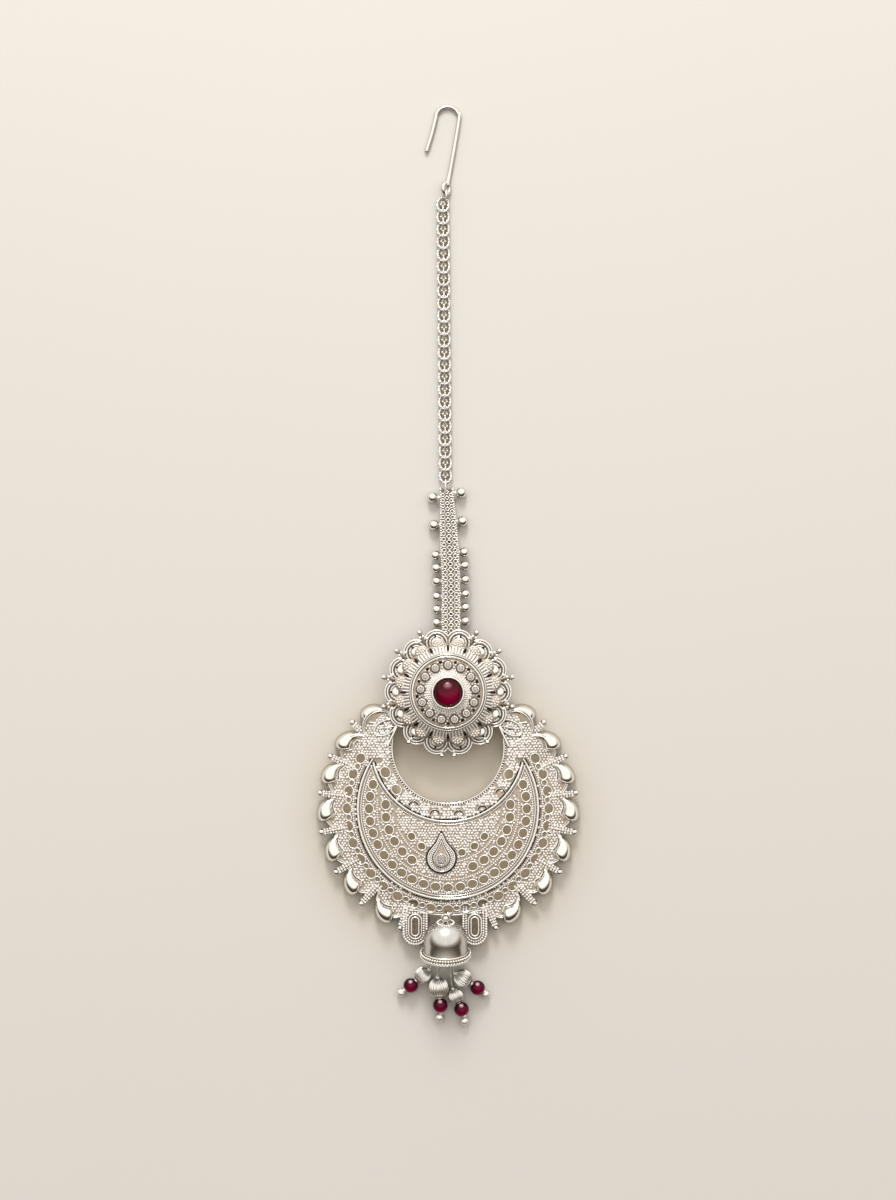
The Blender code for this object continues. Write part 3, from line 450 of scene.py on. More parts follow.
def flat_plate(name, outline, holes, thickness, height, material, replaced="", longest=0.0):
    """A pierced flat plate, raised at each point by the height function."""
    curve = bpy.data.curves.new(name, "CURVE")
    curve.dimensions = "2D"
    curve.fill_mode = "BOTH"
    curve.extrude = thickness / 2
    for loop in [outline, *holes]:
        spline = curve.splines.new("POLY")
        spline.points.add(len(loop) - 1)
        for k, (x, y) in enumerate(loop):
            spline.points[k].co = (x, y, 0.0, 1.0)
        spline.use_cyclic_u = True
    guide = bpy.data.objects.new(name + "_guide", curve)
    bpy.context.scene.collection.objects.link(guide)
    bpy.context.view_layer.update()
    mesh = bpy.data.meshes.new_from_object(guide.evaluated_get(bpy.context.evaluated_depsgraph_get()))
    bpy.data.objects.remove(guide)
    bm = bmesh.new()
    bm.from_mesh(mesh)
    bmesh.ops.remove_doubles(bm, verts=bm.verts, dist=0.001)
    bmesh.ops.triangulate(bm, faces=bm.faces)
    relax(bm)
    for _ in range(3 if longest else 0):
        flat = [edge for edge in flat_edges(bm) if edge.calc_length() > longest]
        bmesh.ops.subdivide_edges(bm, edges=flat, cuts=1)
        bmesh.ops.triangulate(bm, faces=[face for face in bm.faces if len(face.verts) > 3])
        relax(bm)
    bmesh.ops.recalc_face_normals(bm, faces=bm.faces)
    for vertex in bm.verts:
        vertex.co.z += thickness / 2 + float(height(vertex.co.x, vertex.co.y))
    batch = Batch()
    batch.add([tuple(v.co) for v in bm.verts], [[v.index for v in face.verts] for face in bm.faces])
    bm.free()
    batch.make(name, material, replaced, smooth=False)


def build_hook():
    radius = HOOK_WIRE / 2
    bend = HOOK_WIDTH / 2 - radius
    bend_y = HOOK_TOP_Y - HOOK_WIDTH / 2
    bend_x = -0.09
    points = [(bend_x - bend - 1.5, bend_y - 5.4, radius), (bend_x - bend - 0.65, bend_y - 2.6, radius)]
    points += [(x, y, radius) for x, y in arc(bend, (bend_x, bend_y), 180, 2, 9)]
    points.append((1.15, bend_y - 4.4, radius))
    points.append((0.30, EYE_Y + EYE_LENGTH / 2 + 1.4, radius))
    turn = math.radians(50)
    for x, y in arc(1.0, (0.0, 0.0), 62, -246, 13):
        side = x * (EYE_WIDTH - HOOK_WIRE) / 2
        along = y * (EYE_LENGTH - HOOK_WIRE) / 2
        points.append((EYE_X + side * math.cos(turn), EYE_Y + along, EYE_Z - side * math.sin(turn)))
    batch = Batch()
    path = rounded(points, 8)
    path[:, 2] = np.maximum(path[:, 2], radius)
    tube(batch, path, radius, 20)
    for end in (path[0], path[-1]):
        spheres(batch, [end], radius)
    batch.make("hook_wire", WIRE, "hook")


def twisted_ring(batch, width, length, place, strand, spread, turns, steps):
    """A closed oval of two wires twisted round each other."""
    a = np.linspace(0, 2 * math.pi, steps, endpoint=False)
    for phase in (0, math.pi):
        twist = a * turns + phase
        reach = spread * np.cos(twist)
        x = (width / 2 + reach) * np.cos(a)
        y = (length / 2 + reach) * np.sin(a)
        points = np.stack([x, y, spread * np.sin(twist)], 1)
        tube(batch, moved(points, place), strand, 6, closed=True, up=upward(place))


LINK_GRAINS = ((0, -0.30), (-0.33, 0.02), (0.33, 0.02), (-0.20, 0.38), (0.20, 0.38))
UPRIGHT_LINK = 1.14


def build_chain():
    batch, grains, shade = Batch(), Batch(), Batch()
    for k in range(LINK_COUNT):
        y = CHAIN_TOP_Y - k * LINK_PITCH
        place = Matrix.Translation((chain_x(y), y, CHAIN_Z)) @ Matrix.Rotation(-LINK_TILT, 4, "X")
        twisted_ring(batch, LINK_WIDTH, LINK_LENGTH, place, 0.13, 0.10, 6, 72)
        spheres(shade, [tuple(place @ Vector((0.0, 0.05, -0.12)))], 0.66, GRAIN, 0.25)
        for x, along in LINK_GRAINS:
            spheres(grains, [tuple(place @ Vector((x, along, 0.0)))], 0.19)
    for k in range(LINK_COUNT - 1):
        y = CHAIN_TOP_Y - (k + 0.5) * LINK_PITCH
        twisted_ring(batch, UPRIGHT_LINK, UPRIGHT_LINK, on_edge(chain_x(y), y, CHAIN_Z), 0.09, 0.06, 6, 40)
    place = on_edge(EYE_X, EYE_Y - EYE_LENGTH / 2 + 0.15, EYE_Z - 0.06)
    twisted_ring(batch, 1.38, 1.75, place, 0.14, 0.05, 2, 40)
    batch.make("chain_links", SATIN, "chain")
    grains.make("chain_grains", GRAINED, slot="chain")
    shade.make("chain_shade", OPEN, slot="chain")


def ring_at(batch, x, y, z, radius, thickness, steps=14, sides=6):
    tube(batch, at_height(arc(radius, (x, y), 0, 360 - 360 / steps, steps), z), thickness, sides, closed=True)


# Side of the strap, and how far down it each ball lies
STRAP_BALL_ROWS = (
    (-1, (0.055, 0.242, 0.446, 0.533, 0.624, 0.726, 0.815, 0.903)),
    (1, (0.024, 0.216, 0.426, 0.517, 0.613, 0.709, 0.800, 0.892)),
)


def build_strap():
    length = STRAP_TOP_Y - STRAP_END_Y
    y = np.linspace(STRAP_TOP_Y, STRAP_END_Y, 40)
    outline = np.concatenate([
        np.stack([strap_x(y) - strap_half(y), y], 1),
        np.stack([strap_x(y) + strap_half(y), y], 1)[::-1],
    ])
    pits = []
    for k in range(int((length - 1.6 * PIT_PITCH) / PIT_PITCH)):
        at = STRAP_TOP_Y - (k + 1.3) * PIT_PITCH
        pits.append(arc(0.24, (float(strap_x(at)), at), 0, 330, 12))
    # The strap's plate is painted dark, as the shade between its rings
    flat_plate("strap_plate", outline, pits, STRAP_THICKNESS, lambda x, y: strap_z(y), DARK_SHADE, "strap", 2.0)
    cells = Batch()
    top = STRAP_THICKNESS + 0.06
    # Rings in three columns, each column half a ring lower than the one beside it, with a grain in every gap
    for k in range(int((length - 0.5) / CELL_PITCH)):
        for column in (-1, 0, 1):
            at = STRAP_TOP_Y - 0.5 - (k + 0.5 * abs(column)) * CELL_PITCH
            if at < STRAP_END_Y + 0.3:
                continue
            half = float(strap_half(at))
            x = float(strap_x(at)) + column * 0.64 * half
            z = float(strap_z(at)) + top
            ring_at(cells, x, at, z, 0.255 * half / 1.4 + 0.07, 0.115, 14, 8)
            if column == 0:
                for side in (-1, 1):
                    spheres(cells, [(x + side * 0.33 * half, at, z + 0.04)], 0.14)
    for side in (-1, 1):
        at = np.arange(STRAP_TOP_Y - 0.1, STRAP_END_Y, -0.40)
        edge = np.stack([strap_x(at) + side * (strap_half(at) - 0.04), at, strap_z(at) + STRAP_THICKNESS], 1)
        spheres(cells, edge, 0.18)
        low_edge = edge - np.array([0, 0, 0.35])
        spheres(cells, low_edge + np.array([side * 0.08, 0.18, 0]), 0.17)
    cells.make("strap_cells", SATIN, slot="strap")
    balls, grains = Batch(), Batch()
    for side, shares in STRAP_BALL_ROWS:
        for k, share in enumerate(shares):
            size = 1.74 if k < 2 else 1.58
            at = STRAP_TOP_Y - share * length
            z = max(float(strap_z(at)) + STRAP_THICKNESS / 2, size / 2)
            x = float(strap_x(at)) + side * STRAP_BALL_X
            spheres(balls, [(x, at, z)], size / 2, BALL)
            inner = float(strap_x(at)) + side * 0.7 * float(strap_half(at))
            tube(grains, [(x, at, z), ((x + inner) / 2, at, z + 0.05), (inner, at, z + 0.1)], 0.25, 10)
            for m in (-0.24, 0, 0.24):
                spheres(grains, [(x - side * 0.80 * size / 1.5, at + m, z + 0.28 - abs(m) * 0.5)], 0.13)
    balls.make("strap_balls", POLISHED, slot="strap")
    last_y = CHAIN_TOP_Y - (LINK_COUNT - 1) * LINK_PITCH - LINK_LENGTH / 2
    loop_z = CHAIN_Z + LINK_LENGTH / 2 * math.sin(LINK_TILT)
    twisted_ring(grains, 1.24, 2.0, on_edge(chain_x(last_y), last_y - 0.5, loop_z), 0.12, 0.05, 2, 40)
    grains.make("strap_grains", GRAINED, slot="strap")


# Radius and height of the rosette's dome, from its middle out
DOME = np.array([
    (0.0, 3.20), (2.46, 3.20), (3.61, 3.0), (5.58, 2.75), (6.05, 2.66), (6.56, 2.50), (7.38, 1.90),
    (7.9, 1.2), (8.2, 0.8),
])
LOBE_RING = 8.35
LOBE_RADIUS = 2.22
PETAL_RING = 7.72
PETAL_RADIUS = 1.14
PETAL_SQUASH = 0.45
# Radius and drop below the lip, from the inside of the bezel out
BEZEL = [
    (2.42, -0.9), (2.42, -0.10), (2.46, -0.03), (2.56, 0.0), (2.68, -0.05), (2.74, -0.16), (2.75, -0.72),
    (2.80, -0.90), (3.0, -1.08), (3.3, -1.25), (3.7, -1.38), (4.0, -1.50),
]
BEZEL_LIP = ROSETTE_Z + 4.4
CUP = [(0.30, -0.34), (0.38, -0.05), (0.42, 0.0), (0.50, 0.0), (0.60, -0.08), (0.66, -0.2), (0.68, -0.75)]
# Lean from the notch in degrees, radius and size of the grains beside each ball of the lace
NOTCH_GRAINS = ((-4.2, 9.55, 0.34), (4.2, 9.55, 0.34), (-1.5, 10.08, 0.30), (1.5, 10.08, 0.30))


def dome_z(r):
    return ROSETTE_Z + np.interp(r, DOME[:, 0], DOME[:, 1])


def around(radius, degrees):
    a = np.radians(degrees)
    return np.stack([radius * np.cos(a), ROSETTE_Y + radius * np.sin(a)], -1)


def build_rosette():
    # Lace plate whose outline follows the outer sides of fourteen round lobes
    middle, lobe = LOBE_RING, LOBE_RADIUS
    turn = np.linspace(0, 360, 24 * LACE_LOBES, endpoint=False)
    lean = np.radians((turn - 90) % (360 / LACE_LOBES) - 180 / LACE_LOBES)
    reach = middle * np.cos(lean) + np.sqrt(np.maximum(lobe ** 2 - (middle * np.sin(lean)) ** 2, 0.05))
    outline = around(reach, turn)
    angles = 90 + (np.arange(LACE_LOBES) + 0.5) * 360 / LACE_LOBES
    holes = [arc(0.36, around(9.35, a), 0, 330, 12) for a in angles]
    height = LACE_THICKNESS - 0.15
    flat_plate("rosette_lace", outline, holes, height, lambda x, y: ROSETTE_Z, RECESS_SHADE, "rosette")
    top = ROSETTE_Z + height
    wires, smooth, grains, slits, lines = (Batch() for _ in range(5))
    tube(wires, at_height(around(reach - 0.15, turn), top), 0.16, 8, closed=True)
    for a in angles:
        centre = around(middle, a)
        for radius, thick in ((lobe - 0.56, 0.17), (lobe - 1.10, 0.14)):
            tube(wires, at_height(arc(radius, centre, a - 108, a + 108, 36), top + 0.04), thick, 8)
        # Dark lines beside the lobe wires: painted shade
        for radius in (lobe - 0.35, lobe - 0.84):
            tube(lines, at_height(arc(radius, centre, a - 104, a + 104, 36), top), 0.09, 6)
        spheres(smooth, [(*around(8.45, a), top - 0.10)], 0.92, BALL, 0.30)
        spheres(slits, [(*around(9.42, a), top + 0.10)], 0.22, GRAIN, 0.5)
        for m in (-64, -40, 40, 64):
            b = np.radians(a + m)
            x, y = around(middle, a) + 1.12 * np.array([np.cos(b), np.sin(b)])
            spheres(grains, [(x, y, top + 0.05)], 0.17)
    dome = Batch()
    turned(dome, [*DOME[4:], (8.1, 0.3), (7.9, 0.2)], 128, (0, ROSETTE_Y, ROSETTE_Z))
    dome.make("rosette_dome", RECESS_SHADE, slot="rosette")
    table = Batch()
    turned(table, [(0.5, 3.2), *DOME[1:4], (5.9, 2.68)], 128, (0, ROSETTE_Y, ROSETTE_Z))
    table.make("rosette_table", RECESS_SHADE, slot="rosette")
    for ring in np.arange(3.35, 5.62, 0.455):
        count = int(2 * math.pi * ring / 0.47)
        x, y = around(ring, np.arange(count) * 360 / count).T
        spots = around(SETTING_RADIUS, 90 + 360 * np.arange(SETTING_COUNT) / SETTING_COUNT)
        gap = np.hypot(x[:, None] - spots[None, :, 0], y[:, None] - spots[None, :, 1]).min(axis=1)
        x, y = x[gap > 0.82], y[gap > 0.82]
        spheres(grains, np.column_stack([x, y, np.full(len(x), dome_z(ring) + 0.02)]), 0.215)
    # Raised double ring, and the ribs between it and the petals
    for radius, thick, lift in ((5.86, 0.20, 0.14), (6.27, 0.13, 0.10)):
        line = around(radius, np.linspace(0, 360, 120, endpoint=False))
        tube(smooth, at_height(line, dome_z(radius) + lift), thick, 10, closed=True)
    r = np.linspace(6.42, 7.50, 7)
    ribs = Batch()
    for k in range(RIB_COUNT):
        line = around(r, 360 * (k + 0.5) / RIB_COUNT)
        tube(ribs, at_height(line, dome_z(r) + 0.10), 0.165 + 0.035 * (r - 6.4), 6)
    ribs.make("rosette_ribs", GRAINED, slot="rosette")
    # A dark slit of painted shade at each step round the ribs, with a granulated petal between one slit and
    # the next
    petals = Batch()
    for k in range(PETALS):
        a = 90 + 360 * k / PETALS
        r = np.linspace(6.95, 7.85, 8)
        radii = 0.23 * np.sqrt(np.clip(1 - np.linspace(-0.95, 0.95, 8) ** 2, 0.02, 1))
        tube(slits, at_height(around(r, a), dome_z(r) + 0.34), radii, 8)
        b = a + 180 / PETALS
        middle_at = around(PETAL_RING, b)
        base = float(dome_z(PETAL_RING)) - 0.05
        spheres(petals, [(*middle_at, base)], PETAL_RADIUS, BALL, PETAL_SQUASH)
        edge = arc(1.10, middle_at, b - 100, b + 100, 24)
        out = np.hypot(edge[:, 0], edge[:, 1] - ROSETTE_Y)
        tube(wires, at_height(edge, dome_z(out) + 0.22), 0.13, 8)
        for ring, count in ((0.0, 1), (0.44, 6), (0.80, 11)):
            for m in range(count):
                c = math.radians(b + 360 * m / count)
                x, y = middle_at + ring * np.array([math.cos(c), math.sin(c)])
                z = base + PETAL_SQUASH * math.sqrt(PETAL_RADIUS ** 2 - ring ** 2)
                spheres(grains, [(x, y, z)], 0.19)
    petals.make("rosette_petals", RECESS_SHADE, slot="rosette")
    # Small settings, with dark gaps of painted shade and grains between them
    for k in range(SETTING_COUNT):
        a = 90 + 360 * k / SETTING_COUNT
        x, y = around(SETTING_RADIUS, a)
        base = ROSETTE_Z + 3.45
        turned(wires, CUP, 20, (x, y, base))
        ring_at(wires, x, y, base - 0.01, 0.50, 0.11, 20)
        spheres(wires, [(x, y, base - 0.35)], 0.40, GRAIN, 0.4)
        # A dark ring round each setting: painted shade
        ring_at(lines, x, y, base - 0.30, 0.74, 0.09, 16)
        b = a + 180 / SETTING_COUNT
        r = np.linspace(4.85, 5.35, 5)
        tube(slits, at_height(around(r, b), dome_z(5.0) + 0.10), np.array([0.08, 0.20, 0.30, 0.30, 0.18]), 8)
    # Bezel of the ruby
    bezel = Batch()
    turned(bezel, BEZEL, 96, (0, ROSETTE_Y, BEZEL_LIP))
    for radius, drop, count in ((3.12, 1.13, 54), (3.50, 1.30, 60)):
        x, y = around(radius, np.arange(count) * 360 / count).T
        spheres(grains, np.column_stack([x, y, np.full(count, BEZEL_LIP - drop)]), 0.17)
    bezel.make("rosette_bezel", SATIN, slot="rosette")
    # Balls in the notches, and a pair at the lowest notch
    for k in range(LACE_LOBES):
        a = 90 + 360 * k / LACE_LOBES
        if k == 0 or math.sin(math.radians(a)) < -0.35:
            continue
        x, y = around(1.03 * LACE_RADIUS, a)
        spheres(smooth, [(x, y, ROSETTE_Z + LACE_THICKNESS / 2)], 0.475, BALL)
        # A dark stalk under each notch ball: painted shade
        tube(lines, at_height(around(np.array([8.9, 10.7]), a), ROSETTE_Z + 0.3), np.array([0.5, 0.26]), 10)
        for lean, reach, size in NOTCH_GRAINS:
            spheres(wires, [(*around(reach, a + lean), ROSETTE_Z + 0.42)], size)
    for a in (264.5, 275.5, 232, 308):
        x, y = around(10.55, a)
        spheres(smooth, [(x, y, ROSETTE_Z + 0.35)], 0.45, BALL)
        spheres(wires, [(*around(9.85, a), ROSETTE_Z + 0.42)], 0.36)
    wires.make("rosette_wires", SATIN, slot="rosette")
    grains.make("rosette_grains", GRAINED, slot="rosette")
    smooth.make("rosette_balls", POLISHED, slot="rosette")
    slits.make("rosette_slits", PIT, slot="rosette")
    lines.make("rosette_lines", DARK_SHADE, slot="rosette")


def build_ruby():
    batch = Batch()
    radius = BEZEL_RADIUS - 0.36 - 0.10
    a = np.linspace(math.pi / 2, 0, 24)
    profile = [(radius * math.cos(t), RUBY_FLOOR + 0.45 + 1.3 * math.sin(t)) for t in a]
    profile += [(radius, RUBY_FLOOR), (0.0, RUBY_FLOOR)]
    turned(batch, profile, 64, (0, ROSETTE_Y, BEZEL_LIP))
    batch.make("ruby_cabochon", RUBY, "ruby")


def pierced_holes():
    """Centre x, centre y, width and direction in degrees of every pierced hole."""
    rows = (
        (0.940, 150, 390, 25, 1.00),
        (0.735, 162, 378, 25, 0.95),
        (0.582, 176, 364, 17, 0.95),
        (0.425, 217, 323, 7, 0.75),
    )
    holes = []
    for share, first, last, count, width in rows:
        for k in range(count):
            degrees = first + (last - first) * k / (count - 1)
            if share < 0.7 and abs(degrees - 266) < 20:
                continue
            a = math.radians(degrees)
            reach = share * CRESCENT_RADIUS
            holes.append((reach * math.cos(a), CRESCENT_Y + reach * math.sin(a), width * HOLE_WIDTH, degrees))
    for degrees, reach, width in ((204, 0.89, 1.1), (221, 0.89, 1.0), (334, 0.88, 1.05)):
        a = math.radians(degrees)
        x = reach * INNER_ARC_RADIUS * math.cos(a)
        y = INNER_ARC_Y + reach * INNER_ARC_RADIUS * math.sin(a)
        holes.append((x, y, width * HOLE_WIDTH, degrees))
    return np.array(holes)


def oval(hole, grow, count=18):
    """Outline of a pierced hole, a little longer across its direction than along it."""
    x, y, width, degrees = hole
    t = np.linspace(0, 2 * math.pi, count, endpoint=False)
    along = (0.86 * width / 2 + grow) * np.cos(t)
    across = (width / 2 + grow) * np.sin(t)
    c, s = math.cos(math.radians(degrees)), math.sin(math.radians(degrees))
    return np.stack([x + along * c - across * s, y + along * s + across * c], 1)


def rim_reach(turn):
    """How far the rim stands from the crescent's centre at each angle: a pad widens it at each shell."""
    reach = np.full(np.shape(turn), CRESCENT_RADIUS)
    for left in PAD_ANGLES:
        for pad in (left, 540 - left):
            lean = np.radians(turn - pad)
            across = PAD_RING * np.sin(lean)
            out = PAD_RING * np.cos(lean) + np.sqrt(np.maximum(PAD_RADIUS ** 2 - across ** 2, 0))
            on_pad = (np.abs(across) < PAD_RADIUS) & (np.cos(lean) > 0)
            reach = np.where(on_pad, np.maximum(reach, out), reach)
    return reach


def rim_line(inset=0.0, first=118, last=422, count=420):
    turn = np.linspace(first, last, count)
    reach = rim_reach(turn) - inset
    a = np.radians(turn)
    return np.stack([reach * np.cos(a), CRESCENT_Y + reach * np.sin(a)], 1)


def inside_crescent(x, y, margin):
    out = np.hypot(x, y - CRESCENT_Y)
    turn = np.degrees(np.arctan2(y - CRESCENT_Y, x)) % 360
    turn = np.where(turn < 90, turn + 360, turn)
    rim = out < rim_reach(turn) - margin
    top = np.where(out > CRESCENT_RADIUS - 0.6, HORN_TOP_Y + 1.0, HORN_TOP_Y)
    return rim & (np.hypot(x, y - OPENING_Y) > OPENING_RADIUS + margin) & (y < top - margin)


def teardrop(size, step=0.15):
    """Outline of the teardrop setting: a round lower end drawn to a point at the top."""
    radius = size * TEARDROP_WIDTH / 2
    low = TEARDROP_Y - TEARDROP_LENGTH / 2 + TEARDROP_WIDTH / 2
    tip = TEARDROP_Y + 0.5 * TEARDROP_LENGTH * size ** 0.8
    end = arc(radius, (TEARDROP_X, low), 150, 390, 40)
    right = [(TEARDROP_X + 0.32 * radius, low + 0.62 * (tip - low)), (TEARDROP_X, tip)]
    left = [(TEARDROP_X - 0.32 * radius, low + 0.62 * (tip - low))]
    return spaced(np.concatenate([end, right, left, end[:1]]), step)[:-1]


def within(x, y, line):
    """Whether each point is inside the closed outline."""
    odd = np.zeros(len(x), bool)
    for (ax, ay), (bx, by) in zip(line, np.roll(line, -1, 0)):
        crosses = (ay > y) != (by > y)
        odd ^= crosses & (x < (bx - ax) * (y - ay) / (by - ay + 1e-12) + ax)
    return odd


def shell(batch, side, degrees):
    """A polished comma with a flat back that curls round the outer side of a pad."""
    tip = 0.8 + 0.24 * np.sin(np.linspace(0, math.pi / 2, 12)[1:])
    share = np.concatenate([np.linspace(0, 0.8, 20), tip])
    early = 0.26 + 0.74 * np.sin(math.pi / 2 * np.minimum(share, 0.8) / 0.8) ** 1.3
    late = np.sqrt(np.clip(1 - ((share - 0.8) / 0.2405) ** 2, 0, 1))
    swell = np.where(share < 0.8, early, late)
    width = (SHELL_WIDTH / 2 - 0.07) * swell
    a = math.radians(degrees)
    b = np.radians(degrees - 68 + 95 * share)
    ahead = np.stack([-side * np.cos(b), np.sin(b)], 1)
    middle = np.array([-side * PAD_RING * math.cos(a), CRESCENT_Y + PAD_RING * math.sin(a)])
    centre = middle + ahead * SHELL_PATH
    root = plate_z(centre[:, 0], centre[:, 1]) + PLATE_THICKNESS + 0.35 - 0.6 * share
    end = np.minimum(1, np.sqrt(np.maximum(swell, 0) * 3))
    height = end * np.maximum(root, SHELL_HEIGHT * (0.5 + 0.5 * swell))
    t = np.linspace(0, math.pi, 25)
    flat = centre[:, None] + ahead[:, None] * (width[:, None] * np.cos(t)[None])[..., None]
    z = height[:, None] * np.sin(t)[None] ** 0.75
    points = np.concatenate([flat, z[..., None]], -1).reshape(-1, 3)
    faces = grid_faces(len(share), len(t), False, False)
    batch.add(points, faces if side > 0 else faces[:, ::-1])
    return centre + ahead * width[:, None] * -1.0


LEAF = [(8.3, -26.3), (9.8, -25.8), (11.7, -26.7), (12.2, -28.2), (10.7, -28.5), (9.2, -27.7), (8.3, -26.3)]
LEAF_FOLD = [(7.9, -25.4), (8.6, -27.2), (10.0, -30.2)]
LEAF_VEIN = [(8.8, -26.9), (11.6, -27.4)]
MOONS = [(-5.7, -40.2), (-2.2, -41.6), (1.8, -41.7), (5.7, -40.9), (8.7, -38.1)]
# Radius, first and last angle of the beaded lines between the rows of holes
BEAD_LINES = ((15.75, 148, 392), (14.05, 152, 388), (11.75, 173, 367), (8.85, 198, 342))
SMALL_HOLE = 0.86
GRAIN_STEP = 0.50


def small_openings():
    """Centre x, centre y, width and direction of the small openings beyond the outer row."""
    degrees = 155 + 10 * np.arange(24)
    a = np.radians(degrees)
    reach = 0.93 * CRESCENT_RADIUS
    return np.stack([reach * np.cos(a), CRESCENT_Y + reach * np.sin(a), np.full(24, SMALL_HOLE), degrees], 1)


def granulation(holes, small):
    """Place and size of the grains that fill the plate between its holes and wires."""
    x, y = np.meshgrid(np.arange(92), np.arange(98))
    scatter = np.random.RandomState(3)
    x = ((x + 0.5 * (y % 2)) * GRAIN_STEP - 22.3 + scatter.uniform(-0.08, 0.08, x.shape)).ravel()
    y = (y * GRAIN_STEP * 0.87 - 62.5 + scatter.uniform(-0.08, 0.08, y.shape)).ravel()
    keep = inside_crescent(x, y, 0.62)
    x, y = x[keep], y[keep]
    gap = np.hypot(x[:, None] - holes[None, :, 0], y[:, None] - holes[None, :, 1]) - holes[None, :, 2] / 2
    keep = np.min(gap, axis=1) > 0.38
    gap = np.hypot(x[:, None] - small[None, :, 0], y[:, None] - small[None, :, 1])
    keep &= np.min(gap, axis=1) > 0.70
    above = y > ARC_TOP_Y
    from_inner = np.hypot(x, y - INNER_ARC_Y)
    from_centre = np.hypot(x, y - CRESCENT_Y)
    keep &= above | (np.abs(from_inner - INNER_ARC_RADIUS - 0.20) > 0.56)
    keep &= above | (np.abs(from_centre - OUTER_ARC_RADIUS + 0.20) > 0.56)
    keep &= np.hypot(x, y - OPENING_Y) > OPENING_RADIUS + 0.66
    for radius, _, _ in BEAD_LINES:
        keep &= above | (np.abs(from_centre - radius) > 0.33)
    keep &= ~within(x, y, teardrop(1.10))
    for moon in MOONS:
        reach = np.hypot(x - moon[0], y - moon[1])
        keep &= (np.abs(reach - 0.80) > 0.30) | (y < moon[1] - 0.1)
    for degrees in PAD_ANGLES:
        a = math.radians(degrees)
        rx, ry = -np.abs(x) - PAD_RING * math.cos(a), y - CRESCENT_Y - PAD_RING * math.sin(a)
        lean = (np.degrees(np.arctan2(ry, rx)) - degrees + 180) % 360 - 180
        half = np.interp(lean, (-75, -60, 9, 40, 48), (0.2, 0.6, 1.75, 1.0, 0.0))
        keep &= (np.abs(np.hypot(rx, ry) - SHELL_PATH) > half) | (lean < -75) | (lean > 48)
    x, y = x[keep], y[keep]
    larger = np.hypot(x, y - INNER_ARC_Y) < INNER_ARC_RADIUS
    return on_plate(np.column_stack([x, y]), 0.02), scatter.uniform(0.19, 0.26, len(x)) + 0.045 * larger


def build_border(polished, wires, border, stalks):
    """Shells round the pads, and between them the balls of the border on their beaded stalks."""
    for side in (-1, 1):
        for degrees in PAD_ANGLES:
            inner = shell(polished, side, degrees)[2:-3]
            tube(wires, at_height(inner, plate_z(inner[:, 0], inner[:, 1]) + PLATE_THICKNESS + 0.12), 0.14, 6)
            c = math.radians(degrees + 8.6)
            away = np.array([-side * math.cos(c), math.sin(c), 0])
            place = np.array([0, CRESCENT_Y, 1.4]) + away * BORDER_BALL_RADIUS
            spheres(polished, [place], 0.5, BALL)
            foot = np.array([0, CRESCENT_Y, 0]) + away * 0.96 * CRESCENT_RADIUS
            foot[2] = plate_z(foot[0], foot[1]) + 0.3 * PLATE_THICKNESS
            line = place + (foot - place) * np.linspace(0, 1, 10)[:, None]
            tube(stalks, line, np.linspace(0.24, 0.60, 10), 12)
            across = np.array([-away[1], away[0], 0])
            for row in (-1, 0, 1):
                for j in range(9):
                    share = 0.14 + j * 0.108
                    at = place + (foot - place) * share + across * row * (0.29 + 0.24 * share)
                    at[2] += (0.24 + 0.36 * share) * (0.72 if row else 1.0)
                    spheres(border, [at], 0.24 if (j + row) % 2 else 0.18)


